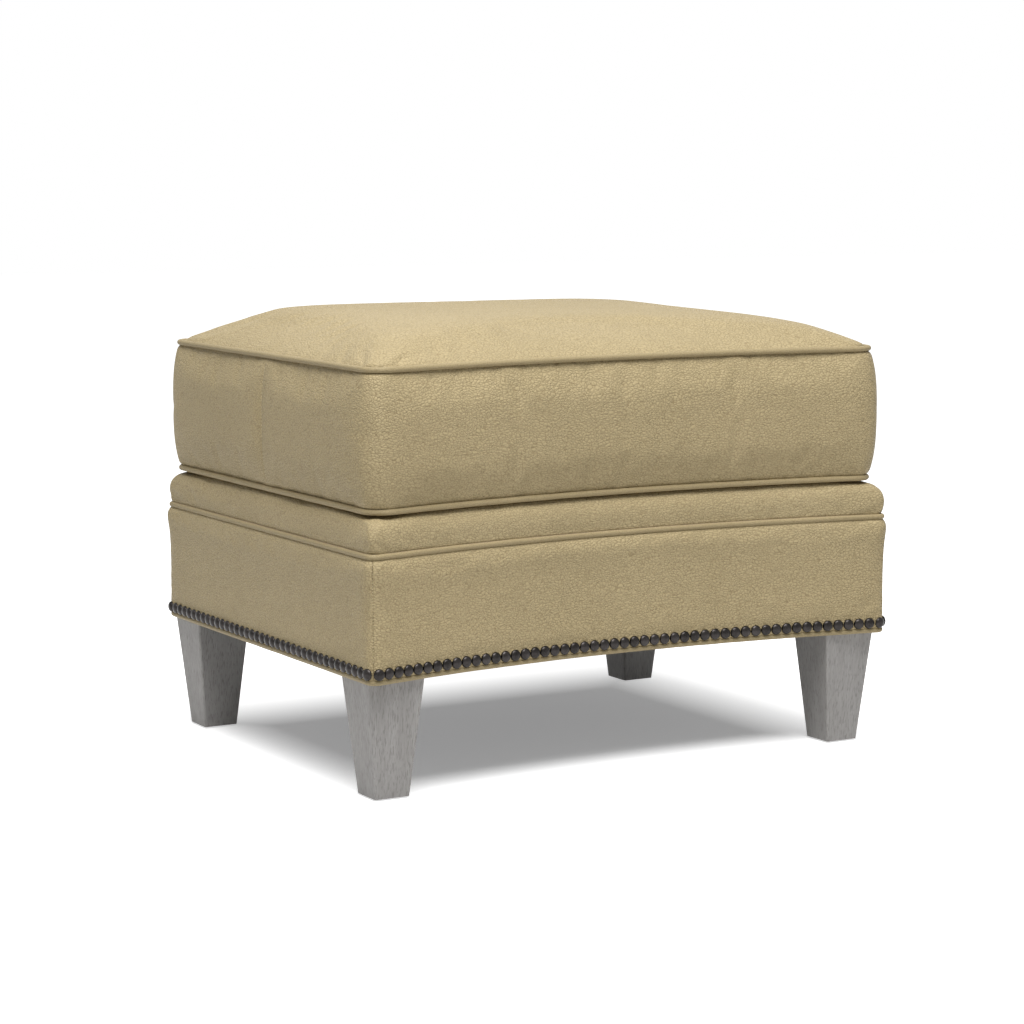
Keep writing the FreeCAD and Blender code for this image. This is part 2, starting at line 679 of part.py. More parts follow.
TAPE_SINK = 0.5
TEETH_HALF = 2.6
teeth_space = block(
    Vector(-dim("zip_length") / 2, MIDDLE_Y, ZIP_MIDDLE - TEETH_HALF),
    Vector(dim("zip_length") / 2, FAR, ZIP_MIDDLE + TEETH_HALF))
tape = skin_loft(cushion_outline, inner_profile(box_line, TAPE_SINK)).cut(box_inner).common(zip_space)
teeth = box_hide.common(teeth_space)
feature("cushion_zip", tape.fuse(teeth))

SLIDER_LENGTH = 14.0
SLIDER_HEIGHT = 8.0
SLIDER_DEPTH = 2.0
TAB_LENGTH = 24.0
TAB_HEIGHT = 5.0
slider_x = -dim("zip_length") / 2 + 30.0
back_surface = BACK_Y + SAGITTA - RADIUS + math.sqrt((RADIUS - INSET + BULGE) ** 2 - slider_x**2)
slider_body = Part.makeBox(
    SLIDER_LENGTH, SLIDER_DEPTH, SLIDER_HEIGHT,
    Vector(-SLIDER_LENGTH / 2, 0.3, ZIP_MIDDLE - SLIDER_HEIGHT / 2))
slider_tab = Part.makeBox(
    TAB_LENGTH, SLIDER_DEPTH / 2, TAB_HEIGHT,
    Vector(0, 0.3 + SLIDER_DEPTH, ZIP_MIDDLE - TAB_HEIGHT / 2))
slider = one_solid(slider_body.fuse(slider_tab))
lean = -math.degrees(math.asin(slider_x / (RADIUS - INSET + BULGE)))
slider.rotate(Vector(0, 0, 0), Vector(0, 0, 1), lean)
slider.translate(Vector(slider_x, back_surface, 0))
feature("zip_slider", Part.makeCompound([slider]))

filling = plate(cushion_outline, -SEAM_FOLD, CUSHION_BOTTOM + LEATHER, BOX_LOW)
neck = plate(cushion_outline, -SEAM_FOLD, BOX_TOP, UPPER_SEAM)
filling = filling.fuse([box_inner, neck, crown_inner])

WRAP = dim("fibre_wrap")
foam_box = skin_loft(cushion_outline, [
    (CUSHION_BOTTOM + LEATHER + WRAP, -(SEAM_FOLD + WRAP)),
    (ZIP_MIDDLE, BULGE - LEATHER - WRAP),
    (UPPER_SEAM, -(SEAM_FOLD + WRAP)),
])
foam_crown_line = [(UPPER_SEAM, -(SEAM_FOLD + WRAP))]
for distance in (25.0, 75.0, 165.0):
    foam_crown_line.append((crown_level(distance) - LEATHER - WRAP, -(distance + WRAP)))
foam = foam_box.fuse(skin_loft(cushion_outline, foam_crown_line))
feature("cushion_foam", foam)
feature("cushion_wrap", filling.cut(foam))


# Checks, then one file for each sub-part

doc.recompute()
for node in doc.Objects:
    if "Invalid" in node.State or "Error" in node.State:
        raise RuntimeError(f"{node.Label} failed: {node.State}")
for node in subparts:
    if node.Shape.isNull() or not node.Shape.isValid():
        raise RuntimeError(f"{node.Label} has no valid shape")

os.makedirs("parts", exist_ok=True)
for node in subparts:
    node.Shape.exportStep(f"parts/{node.Label}.step")
    solids = len(node.Shape.Solids)
    print(f"{node.Label}: {solids} solid(s), {node.Shape.Volume / 1000:.1f} cm3")
print(len(subparts), "nodes,", len(nails), "nails")
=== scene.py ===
# %% [markdown]
# # An upholstered footstool, dressed round its CAD frame
#
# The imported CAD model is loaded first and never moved. Every soft piece is then
# rebuilt over its plain solid: a boxed and welted cushion, a padded roll, a padded
# band with close-set nails. Timber, glides and fixings keep their CAD form and get
# finishes of their own. All sizes are in metres, in the frame of the CAD model:
# X to the right, Y to the back, Z up from the floor.

# %% Load the frame
import json
import math

import bpy
import numpy as np
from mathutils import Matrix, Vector, noise


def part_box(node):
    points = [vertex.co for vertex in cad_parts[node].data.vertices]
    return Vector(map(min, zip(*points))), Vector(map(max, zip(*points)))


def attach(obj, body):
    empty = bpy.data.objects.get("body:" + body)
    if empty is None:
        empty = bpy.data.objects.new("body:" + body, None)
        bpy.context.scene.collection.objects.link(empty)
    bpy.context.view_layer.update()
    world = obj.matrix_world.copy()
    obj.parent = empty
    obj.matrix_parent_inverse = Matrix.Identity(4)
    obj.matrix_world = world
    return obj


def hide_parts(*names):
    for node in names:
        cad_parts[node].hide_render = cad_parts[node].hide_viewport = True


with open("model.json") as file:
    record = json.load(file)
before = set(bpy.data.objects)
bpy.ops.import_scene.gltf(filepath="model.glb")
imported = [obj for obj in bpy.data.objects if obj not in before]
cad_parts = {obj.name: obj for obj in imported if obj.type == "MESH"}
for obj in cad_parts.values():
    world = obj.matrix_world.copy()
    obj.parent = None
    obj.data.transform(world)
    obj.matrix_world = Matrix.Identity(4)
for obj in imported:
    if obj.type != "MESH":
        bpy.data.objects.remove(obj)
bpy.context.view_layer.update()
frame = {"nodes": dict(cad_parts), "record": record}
MM = 0.001

# %% [markdown]
# ## Sizes that everything follows
#
# The stool is cut to a plan with a hollow front and a back that bulges by the same
# arc. The numbers below are the ones a maker would write on the pattern. Levels
# come from the CAD nodes, so the looks stay seated if the frame changes.

# %% Pattern sizes and levels
WIDTH = 702.0 * MM
DEPTH = 551.4 * MM
FACE_RADIUS = 1524.0 * MM
BASE_CORNER = 8.0 * MM
CUSHION_CORNER = 22.0 * MM
CUSHION_INSET = 7.5 * MM
WELT_RADIUS = 3.4 * MM

SAGITTA = FACE_RADIUS - math.sqrt(FACE_RADIUS**2 - (WIDTH / 2) ** 2)


def level(node, end):
    """Lowest (0) or highest (1) point of a CAD node."""
    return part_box(node)[end].z


BOTTOM_WELT = level("bottom_welt", 0) + WELT_RADIUS
BASE_WELT = level("base_welt", 1) - WELT_RADIUS
DECK_TOP = level("roll_cover", 1)
LOWER_SEAM = level("cushion_bottom_welt", 1) - WELT_RADIUS
UPPER_SEAM = level("cushion_top_welt", 1) - WELT_RADIUS
CUSHION_BOTTOM = level("cushion_bottom_panel", 0)
LEG_TOP = level("dust_cover", 0)
FRONT_Y = -295.5 * MM
BACK_Y = FRONT_Y + DEPTH
MIDDLE_Y = FRONT_Y + DEPTH / 2
print("welts at", [round(z, 4) for z in (BOTTOM_WELT, BASE_WELT, LOWER_SEAM, UPPER_SEAM)])
print("front and back corner lines", round(FRONT_Y, 4), round(BACK_Y, 4))

# %% [markdown]
# ## The plan as a ring of stations
#
# Every soft piece is a stack of rings that follow the plan at some distance from
# the welt line. If each ring has the same number of points, and point 40 is always
# at the same place round the stool, two neighbouring rings can be joined by plain
# four-sided faces. Station 0 is in the middle of the front left corner.

# %% Ring of the plan
ALONG_FACE = 96
ALONG_SIDE = 74
ROUND_CORNER = 8
STATIONS = 2 * (ALONG_FACE + ALONG_SIDE) + 4 * ROUND_CORNER
TO_FRONT_RIGHT = ALONG_FACE + ROUND_CORNER
TO_BACK_RIGHT = TO_FRONT_RIGHT + ALONG_SIDE + ROUND_CORNER
TO_BACK_LEFT = TO_BACK_RIGHT + ALONG_FACE + ROUND_CORNER
CORNER_STATIONS = [0, TO_FRONT_RIGHT, TO_BACK_RIGHT, TO_BACK_LEFT]


def arc(centre, radius, start, end, count):
    """Points on an arc, without the last one."""
    turns = np.linspace(start, end, count, endpoint=False)
    return np.column_stack([centre[0] + radius * np.cos(turns), centre[1] + radius * np.sin(turns)])


def plan_ring(offset, corner):
    """Plan outline moved out by offset, as STATIONS points, anticlockwise."""
    half = WIDTH / 2 + offset
    front_radius = FACE_RADIUS - offset
    back_radius = FACE_RADIUS + offset
    front_centre = (0.0, FRONT_Y + SAGITTA - FACE_RADIUS)
    back_centre = (0.0, BACK_Y + SAGITTA - FACE_RADIUS)
    x = half - corner
    front_y = front_centre[1] + math.sqrt((front_radius + corner) ** 2 - x**2)
    back_y = back_centre[1] + math.sqrt((back_radius - corner) ** 2 - x**2)
    front_lean = math.asin(x / (front_radius + corner))
    back_lean = math.asin(x / (back_radius - corner))
    quarter = math.pi / 2

    front = arc(front_centre, front_radius, quarter + front_lean, quarter - front_lean, ALONG_FACE)
    turn = arc((x, front_y), corner, -quarter - front_lean, 0.0, ROUND_CORNER)
    half_side = ALONG_SIDE // 2
    side_y = np.concatenate([
        np.linspace(front_y, MIDDLE_Y, half_side, endpoint=False),
        np.linspace(MIDDLE_Y, back_y, half_side, endpoint=False)])
    right = np.column_stack([np.full(ALONG_SIDE, half), side_y])
    back_turn = arc((x, back_y), corner, 0.0, quarter - back_lean, ROUND_CORNER)
    back = arc(back_centre, back_radius, quarter - back_lean, quarter + back_lean, ALONG_FACE)

    def to_left(points, start_point):
        """Mirror image, run the other way round, from start_point on."""
        return np.vstack([start_point, points[:0:-1] * (-1, 1)])

    left_back_turn = to_left(back_turn, back[0] * (-1, 1))
    left = to_left(right, back_turn[0] * (-1, 1))
    left_front_turn = to_left(turn, right[0] * (-1, 1))
    ring = np.vstack([front, turn, right, back_turn, back, left_back_turn, left, left_front_turn])
    return np.roll(ring, ROUND_CORNER // 2, axis=0)


def ring_outward(ring):
    """Unit normals of a ring, pointing away from the stool."""
    along = np.roll(ring, -1, axis=0) - np.roll(ring, 1, axis=0)
    along /= np.linalg.norm(along, axis=1)[:, None]
    return np.column_stack([along[:, 1], -along[:, 0]])


def base_ring(offset):
    return plan_ring(offset, max(BASE_CORNER + offset, 4 * MM))


def roll_ring(offset):
    """Ring of the padded roll, whose corner opens out as it turns over the top."""
    return plan_ring(offset, BASE_CORNER + 2 * MM - 0.3 * min(offset, 0.0))


def face_share():
    """For each station, how near it is to the middle of its face: 0 at corners, 1 in the middle."""
    share = np.zeros(STATIONS)
    edges = CORNER_STATIONS + [STATIONS]
    for first, last in zip(edges, edges[1:]):
        along = np.linspace(-1, 1, last - first, endpoint=False)
        share[first:last] = 1 - along**4
    return share


FACE_SHARE = face_share()


def cushion_ring(offset, belly=0.0):
    """Ring counted from the cushion's seams; belly is what the faces swell beyond it."""
    corner = CUSHION_CORNER - 0.3 * min(offset, 0.0)
    ring = plan_ring(offset - CUSHION_INSET, corner)
    return ring + ring_outward(ring) * (belly * FACE_SHARE)[:, None]


print("stations:", STATIONS, "girth", round(float(np.linalg.norm(
    np.diff(base_ring(0.0), axis=0), axis=1).sum()), 4), "m")

# %% [markdown]
# ## Small mesh tools
#
# A piece is a list of points and a list of faces. These helpers join rings, fill
# the inside of a ring with an even net, and hand the result to Blender.

# %% Mesh helpers


def add_piece(name, points, faces, material, body):
    """A new mesh object that rides on a CAD body."""
    mesh = bpy.data.meshes.new(name)
    mesh.from_pydata([tuple(p) for p in points], [], [tuple(int(i) for i in f) for f in faces])
    mesh.update()
    mesh.polygons.foreach_set("use_smooth", [True] * len(mesh.polygons))
    mesh.materials.append(material)
    piece = bpy.data.objects.new(name, mesh)
    bpy.context.scene.collection.objects.link(piece)
    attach(piece, body)
    return piece


def stack(rings, levels):
    """Rings of plan points and their heights, as one array of 3-D points."""
    rows = [np.column_stack([ring, np.full(len(ring), z)]) for ring, z in zip(rings, levels)]
    return np.vstack(rows)


def rows_round(ring_of, rows):
    """Points of the rings ring_of(reach), one for each (height, reach) row."""
    return stack([ring_of(reach) for _, reach in rows], [z for z, _ in rows])


def wall_faces(rows, count, start=0):
    """Faces between neighbouring rings of count points each, facing out."""
    faces = []
    for row in range(rows - 1):
        low = start + row * count
        high = low + count
        for i in range(count):
            after = (i + 1) % count
            faces.append((low + i, low + after, high + after, high + i))
    return faces


def strip_faces(rows, count):
    """Faces between open rows of count points each."""
    return [(row * count + i, row * count + i + 1, (row + 1) * count + i + 1, (row + 1) * count + i)
            for row in range(rows - 1) for i in range(count - 1)]


def net_inside(ring):
    """Even net of points inside a ring, from its front edge to its back edge.

    Opposite edges are blended first, then the inner points are relaxed so that
    the squares near the round corners even out.
    """
    across, deep = TO_FRONT_RIGHT, TO_BACK_RIGHT - TO_FRONT_RIGHT
    front = ring[: across + 1]
    right = ring[across: across + deep + 1]
    back = ring[TO_BACK_RIGHT: TO_BACK_RIGHT + across + 1][::-1]
    left = np.vstack([ring[TO_BACK_LEFT:], ring[:1]])[::-1]
    u = np.linspace(0, 1, across + 1)[:, None, None]
    v = np.linspace(0, 1, deep + 1)[None, :, None]
    net = (1 - v) * front[:, None] + v * back[:, None] + (1 - u) * left[None] + u * right[None]
    net -= (1 - u) * ((1 - v) * front[0] + v * back[0]) + u * ((1 - v) * front[-1] + v * back[-1])
    for _ in range(60):
        net[1:-1, 1:-1] = (net[:-2, 1:-1] + net[2:, 1:-1] + net[1:-1, :-2] + net[1:-1, 2:]) / 4
    return net


def net_faces(ring_start, inner_start, upward=True):
    """Faces of a net whose rim is the ring at ring_start and whose inner points follow."""
    across, deep = TO_FRONT_RIGHT, TO_BACK_RIGHT - TO_FRONT_RIGHT

    def point(i, j):
        if j == 0:
            return ring_start + i
        if i == across:
            return ring_start + across + j
        if j == deep:
            return ring_start + TO_BACK_RIGHT + across - i
        if i == 0:
            return ring_start + TO_BACK_LEFT + deep - j
        return inner_start + (i - 1) * (deep - 1) + (j - 1)

    faces = []
    for i in range(across):
        for j in range(deep):
            face = (point(i, j), point(i + 1, j), point(i + 1, j + 1), point(i, j + 1))
            faces.append(face if upward else face[::-1])
    return faces


def inner_points(net, heights):
    """The net's points without its rim, with their heights."""
    inside = net[1:-1, 1:-1].reshape(-1, 2)
    return np.column_stack([inside, heights(inside)])


def smooth_line(points, count):
    """Even points on a smooth curve through a few (height, reach) pairs."""
    points = np.array(points, float)
    padded = np.vstack([2 * points[0] - points[1], points, 2 * points[-1] - points[-2]])
    fine = []
    for i in range(1, len(padded) - 2):
        a, b, c, d = padded[i - 1: i + 3]
        for t in np.linspace(0, 1, 20, endpoint=False):
            fine.append(0.5 * (2 * b + (c - a) * t + (2 * a - 5 * b + 4 * c - d) * t**2
                               + (3 * b - a - 3 * c + d) * t**3))
    fine = np.vstack([fine, points[-1]])
    walked = np.concatenate([[0], np.cumsum(np.linalg.norm(np.diff(fine, axis=0), axis=1))])
    even = np.linspace(0, walked[-1], count)
    return np.column_stack([np.interp(even, walked, fine[:, k]) for k in (0, 1)])


def ripple(points, size, seed):
    """Gentle random heights from -1 to 1 at each point; size is the wave in metres."""
    shift = Vector((seed * 7.13, seed * 3.71, seed * 5.37))
    return np.array([noise.noise(Vector(p) / size + shift) for p in points])


def points_of(piece):
    """The points of a piece's mesh as an array."""
    flat = np.empty(len(piece.data.vertices) * 3)
    piece.data.vertices.foreach_get("co", flat)
    return flat.reshape(-1, 3)


def put_points(piece, points):
    piece.data.vertices.foreach_set("co", np.ascontiguousarray(points).ravel())
    piece.data.update()


SETTLING_FRAMES = 20


def settle(piece, held, cap, spare=0.0, pressure=4.0):
    """Lets the hide settle as cloth over a firm filling, held at its seams.

    held are the numbers of the points that stay, cap is how far any other may
    move, and spare is how much larger than its place the hide was cut.
    """
    scene = bpy.context.scene
    start = points_of(piece)
    group = piece.vertex_groups.new(name="held")
    group.add([int(i) for i in held], 1.0, "REPLACE")
    cloth = piece.modifiers.new("settling", "CLOTH")
    cloth.settings.quality = 5
    cloth.settings.mass = 0.4
    cloth.settings.tension_stiffness = 30.0
    cloth.settings.compression_stiffness = 30.0
    cloth.settings.shear_stiffness = 15.0
    cloth.settings.bending_stiffness = 1.2
    cloth.settings.shrink_min = -spare
    cloth.settings.use_pressure = True
    cloth.settings.uniform_pressure_force = pressure
    cloth.settings.effector_weights.gravity = 0.0
    cloth.settings.vertex_group_mass = "held"
    cloth.collision_settings.use_collision = False
    cloth.point_cache.frame_start = 1
    cloth.point_cache.frame_end = SETTLING_FRAMES
    for number in range(1, SETTLING_FRAMES + 1):
        scene.frame_set(number)
    settled = piece.evaluated_get(bpy.context.evaluated_depsgraph_get()).data
    flat = np.empty(len(settled.vertices) * 3)
    settled.vertices.foreach_get("co", flat)
    moved = flat.reshape(-1, 3) - start
    piece.modifiers.remove(cloth)
    piece.vertex_groups.remove(group)
    scene.frame_set(1)
    far = np.linalg.norm(moved, axis=1)
    moved *= np.minimum(1.0, cap / np.maximum(far, 1e-9))[:, None]
    put_points(piece, start + moved)
    print(piece.name, "settled: moved", round(float(far.mean()) * 1000, 2), "mm on average, most",
          round(float(far.max()) * 1000, 2), "before the cap")
    return np.linalg.norm(moved, axis=1)


def stitch_row(name, places, ways, length, thickness, material, body):
    """Short rounded dashes, one at each place and lying along its way."""
    sides, points, faces = 6, [], []
    ends = [(-0.5, 0.35), (-0.32, 0.9), (0.0, 1.0), (0.32, 0.9), (0.5, 0.35)]
    for place, way in zip(places, ways):
        way = Vector(way).normalized()
        across = way.orthogonal().normalized()
        other = way.cross(across)
        base = len(points)
        for along, thick in ends:
            for side in range(sides):
                turn = 2 * math.pi * side / sides
                spot = Vector(place) + way * (along * length)
                spot += (across * math.cos(turn) + other * math.sin(turn)) * (thick * thickness)
                points.append(tuple(spot))
        faces += wall_faces(len(ends), sides, base)
        faces.append(tuple(base + i for i in range(sides))[::-1])
        last = base + (len(ends) - 1) * sides
        faces.append(tuple(last + i for i in range(sides)))
    piece = add_piece(name, points, faces, material, body)
    print(name, len(places), "stitches")
    return piece


def along_line(line, pitch):
    """Places and directions every pitch along a line, from half a pitch in."""
    line = np.asarray(line)
    steps = np.linalg.norm(np.diff(line, axis=0), axis=1)
    walked = np.concatenate([[0], np.cumsum(steps)])
    at = np.arange(0.5 * pitch, walked[-1], pitch)
    places = np.column_stack([np.interp(at, walked, line[:, k]) for k in range(3)])
    which = np.clip(np.searchsorted(walked, at) - 1, 0, len(line) - 2)
    ways = (line[which + 1] - line[which]) / steps[which][:, None]
    return places, ways


def subdivide(piece):
    """One smoothing subdivision, kept as a modifier."""
    modifier = piece.modifiers.new("subdivision", "SUBSURF")
    modifier.levels = 1
    modifier.render_levels = 1


# %% [markdown]
# ## Material tools
#
# Every finish is built from the same few bricks: coordinates that stay with the
# piece, noise, cells, colour ramps and a bump. Wrapping them in short functions
# keeps each recipe readable as a recipe.

# %% Node helpers


class Recipe:
    """A material whose nodes are added one by one."""

    def __init__(self, name):
        self.material = bpy.data.materials.new(name)
        self.material.use_nodes = True
        self.tree = self.material.node_tree
        self.shader = self.tree.nodes["Principled BSDF"]
        self.where = self.add("ShaderNodeTexCoord").outputs["Object"]

    def add(self, kind, **settings):
        node = self.tree.nodes.new(kind)
        for key, value in settings.items():
            setattr(node, key, value)
        return node

    def feed(self, node, socket, value):
        """Links an output, or sets a plain value."""
        target = node.inputs[socket]
        if isinstance(value, bpy.types.NodeSocket):
            self.tree.links.new(value, target)
        else:
            target.default_value = value

    def set(self, **values):
        """Plain values on the shader itself."""
        for socket, value in values.items():
            self.shader.inputs[socket.replace("_", " ")].default_value = value

    def stretched(self, scale, vector=None):
        node = self.add("ShaderNodeMapping")
        self.feed(node, "Vector", vector or self.where)
        node.inputs["Scale"].default_value = scale
        return node.outputs["Vector"]

    def noise(self, scale, detail=3.0, rough=0.5, vector=None, warp=0.0):
        node = self.add("ShaderNodeTexNoise")
        self.feed(node, "Vector", vector or self.where)
        node.inputs["Scale"].default_value = scale
        node.inputs["Detail"].default_value = detail
        node.inputs["Roughness"].default_value = rough
        node.inputs["Distortion"].default_value = warp
        return node.outputs["Fac"]

    def cells(self, scale, feature="F1", vector=None):
        node = self.add("ShaderNodeTexVoronoi", feature=feature)
        self.feed(node, "Vector", vector or self.where)
        node.inputs["Scale"].default_value = scale
        return node.outputs["Distance"]

    def warped(self, amount, scale, vector=None):
        """Coordinates pushed about by noise, so that cells lose their order."""
        source = self.add("ShaderNodeTexNoise")
        self.feed(source, "Vector", vector or self.where)
        source.inputs["Scale"].default_value = scale
        source.inputs["Detail"].default_value = 2.0
        centred = self.add("ShaderNodeVectorMath", operation="SUBTRACT")
        self.feed(centred, 0, source.outputs["Color"])
        centred.inputs[1].default_value = (0.5, 0.5, 0.5)
        push = self.add("ShaderNodeVectorMath", operation="SCALE")
        self.feed(push, 0, centred.outputs["Vector"])
        push.inputs["Scale"].default_value = amount
        moved = self.add("ShaderNodeVectorMath", operation="ADD")
        self.feed(moved, 0, vector or self.where)
        self.feed(moved, 1, push.outputs["Vector"])
        return moved.outputs["Vector"]

    def ramp(self, value, stops):
        """Colours or greys at given places: [(place, colour or grey), ...]."""
        node = self.add("ShaderNodeValToRGB")
        self.feed(node, "Fac", value)
        elements = node.color_ramp.elements
        while len(elements) < len(stops):
            elements.new(0.5)
        for element, (place, colour) in zip(elements, stops):
            element.position = place
            grey = isinstance(colour, (int, float))
            element.color = (colour, colour, colour, 1) if grey else (*colour, 1)
        return node.outputs["Color"]

    def spread(self, value, low, high, new_low, new_high):
        """Maps one range of numbers onto another."""
        node = self.add("ShaderNodeMapRange")
        self.feed(node, "Value", value)
        for socket, number in (("From Min", low), ("From Max", high),
                               ("To Min", new_low), ("To Max", new_high)):
            node.inputs[socket].default_value = number
        return node.outputs["Result"]

    def sum(self, *terms):
        """Weighted sum of (value, weight) pairs."""
        total = None
        for value, weight in terms:
            part = self.add("ShaderNodeMath", operation="MULTIPLY_ADD")
            self.feed(part, 0, value)
            part.inputs[1].default_value = weight
            if total is None:
                part.inputs[2].default_value = 0.0
            else:
                self.feed(part, 2, total)
            total = part.outputs["Value"]
        return total

    def product(self, a, b):
        node = self.add("ShaderNodeMath", operation="MULTIPLY")
        self.feed(node, 0, a)
        self.feed(node, 1, b)
        return node.outputs["Value"]

    def mix(self, share, a, b):
        node = self.add("ShaderNodeMix", data_type="RGBA", blend_type="MIX")
        self.feed(node, "Factor", share)
        for socket, value in (("A", a), ("B", b)):
            target = [s for s in node.inputs if s.name == socket and s.type == "RGBA"][0]
            if isinstance(value, bpy.types.NodeSocket):
                self.tree.links.new(value, target)
            else:
                target.default_value = (*value, 1)
        return [s for s in node.outputs if s.type == "RGBA"][0]

    def bump(self, height, depth):
        """Bump whose height of 1 is depth metres high."""
        node = self.add("ShaderNodeBump")
        self.feed(node, "Height", height)
        node.inputs["Distance"].default_value = depth
        node.inputs["Strength"].default_value = 1.0
        self.feed(self.shader, "Normal", node.outputs["Normal"])

    def colour(self, value):
        self.feed(self.shader, "Base Color", value)

    def rough(self, value):
        self.feed(self.shader, "Roughness", value)


# %% [markdown]
# ## The hide
#
# The cover is a semi-matte hide with a pebbled grain. The pebbles are about 4 mm
# wide and 3 mm high and are parted by fine creases. Cells of a warped Voronoi
# pattern give the pebbles, finer noise gives wrinkles and pores, and slow noise
# shifts the colour a little from place to place, as on a real skin.

# %% Hide


def hide_finish(name, grain=1.0, pebble=235.0, painted_shade_scale=1.0):
    """Pebbled hide; grain scales the relief, pebble the count per metre, and the last argument scales the whole
    colour down as painted shade.
    """
    hide = Recipe(name)
    flow = hide.warped(0.016, 30.0)
    drawn = hide.stretched((1.0, 1.0, 1.6), flow)
    loose = hide.warped(0.0030, 260.0, drawn)
    pebbles = hide.cells(pebble, "F1", loose)
    creases = hide.cells(pebble, "DISTANCE_TO_EDGE", loose)
    domes = hide.spread(pebbles, 0.0, 0.75, 1.0, 0.0)
    crease_depth = hide.spread(creases, 0.0, 0.14, 0.0, 1.0)
    wrinkles = hide.noise(pebble * 1.6, 2.0, 0.6, drawn, 0.5)
    pores = hide.noise(1500.0, 2.0, 0.6)
    cloud = hide.noise(7.0, 2.0, 0.5)

    height = hide.sum((domes, 0.75), (crease_depth, 0.55), (wrinkles, 0.7), (pores, 0.14))
    hide.bump(height, 0.00056 * grain)

    ground = hide.ramp(cloud, [(0.3, tuple(painted_shade_scale * c for c in (0.412, 0.330, 0.183))),
                                (0.7, tuple(painted_shade_scale * c for c in (0.440, 0.353, 0.198)))])
    # Painted shade: the creases and the low places of the wrinkles are coloured darker, standing in for the shade
    # that falls in the grain's relief.
    crease_shade = hide.spread(hide.sum((crease_depth, 0.75), (wrinkles, 0.6)), 0.30, 0.85, 0.74, 0.0)
    hide.colour(hide.mix(crease_shade, ground, (0.222, 0.166, 0.082)))
    hide.rough(hide.spread(wrinkles, 0.3, 0.7, 0.50, 0.58))
    hide.set(IOR=1.45)
    hide.shader.inputs["Specular IOR Level"].default_value = 0.28
    return hide.material


HIDE = hide_finish("pebbled_hide")
# Painted shade: the welts use the same hide with its colour scaled to 0.82, darker for the shade round the small
# cords; their finer, flatter grain is their own.
SHADED_WELT_HIDE = hide_finish("welt_hide_painted_shade", grain=0.3, pebble=330.0, painted_shade_scale=0.82)
print("hides:", HIDE.name, SHADED_WELT_HIDE.name)

# %% [markdown]
# ## Grey-washed timber
#
# The legs are open-grained timber under a grey wash. The grain runs up the leg, so
# the noise is stretched along Z. Pores are thin dark dashes, and the wash stays
# paler between them.

# %% Leg timber


def leg_timber():
    wood = Recipe("grey_washed_timber")
    bent = wood.warped(0.004, 11.0)
    figure = wood.noise(1.0, 3.0, 0.55, wood.stretched((60.0, 60.0, 4.0), bent))
    fibre = wood.noise(1.0, 3.0, 0.6, wood.stretched((520.0, 520.0, 34.0), bent))
    pores = wood.noise(1.0, 1.0, 0.5, wood.stretched((760.0, 760.0, 92.0), bent))
    open_pore = wood.ramp(pores, [(0.34, 0.0), (0.46, 1.0)])
    wash = wood.ramp(figure, [(0.3, (0.285, 0.274, 0.263)), (0.7, (0.340, 0.328, 0.317))])
    streaked = wood.mix(wood.spread(fibre, 0.35, 0.70, 0.0, 0.55), wash, (0.235, 0.225, 0.216))
    wood.colour(wood.mix(wood.spread(open_pore, 0.0, 1.0, 0.50, 0.0), streaked, (0.150, 0.140, 0.132)))
    wood.rough(wood.spread(fibre, 0.3, 0.7, 0.52, 0.66))
    wood.bump(wood.sum((fibre, 0.6), (open_pore, 0.8), (figure, 0.3)), 0.00016)
    return wood.material


LEG_TIMBER = leg_timber()

# %% [markdown]
# ## Nail heads
#
# The nails are black nickel with a soft sheen, a little brighter in fine scuffs
# scattered over the heads. Slow noise gives each head its own tone.

# %% Nail metal


def nail_metal():
    metal = Recipe("black_nickel")
    tone = metal.noise(70.0, 1.0, 0.5)
    scuff = metal.noise(900.0, 3.0, 0.6)
    base = metal.ramp(tone, [(0.3, (0.022, 0.020, 0.019)), (0.7, (0.040, 0.036, 0.035))])
    metal.colour(metal.mix(metal.spread(scuff, 0.50, 0.80, 0.0, 0.30), base, (0.12, 0.11, 0.105)))
    metal.rough(metal.spread(scuff, 0.3, 0.7, 0.26, 0.40))
    metal.bump(scuff, 0.00005)
    metal.set(Metallic=1.0)
    return metal.material


NAIL_METAL = nail_metal()

# %% [markdown]
# ## Cloths, timber and metal inside the stool
#
# Little of this shows, but the stool may be turned over and its cushion lifted.
# Woven goods share one recipe: two crossed sets of waves, one for each direction
# of thread, over a colour that drifts from thread to thread.

# %% Inner finishes


def woven(name, dark, light, threads, relief, plane="XY"):
    """Plain weave with a given count of threads per metre in the plane."""
    cloth = Recipe(name)
    pitch = threads * 2 * math.pi / 20
    crossing = []
    for axis in plane:
        wave = cloth.add("ShaderNodeTexWave", bands_direction=axis)
        cloth.feed(wave, "Vector", cloth.warped(0.0008, 260.0))
        wave.inputs["Scale"].default_value = pitch
        wave.inputs["Distortion"].default_value = 0.4
        wave.inputs["Detail"].default_value = 1.0
        crossing.append(wave.outputs["Fac"])
    weave = cloth.product(*crossing)
    slub = cloth.noise(300.0, 3.0, 0.6)
    mixed = cloth.sum((weave, 0.7), (slub, 0.4))
    cloth.colour(cloth.ramp(mixed, [(0.1, dark), (0.75, light)]))
    cloth.rough(cloth.spread(slub, 0.3, 0.7, 0.82, 0.95))
    cloth.bump(mixed, relief)
    return cloth.material


def sawn_timber(name, axis):
    """Plain frame timber with its grain along one axis."""
    wood = Recipe(name)
    scale = [160.0, 160.0, 160.0]
    scale["XYZ".index(axis)] = 5.0
    grain = wood.noise(1.0, 4.0, 0.6, wood.stretched(scale), 0.8)
    wood.colour(wood.ramp(grain, [(0.3, (0.42, 0.27, 0.145)), (0.7, (0.62, 0.45, 0.27))]))
    wood.rough(wood.spread(grain, 0.3, 0.7, 0.62, 0.78))
    wood.bump(grain, 0.0003)
    return wood.material


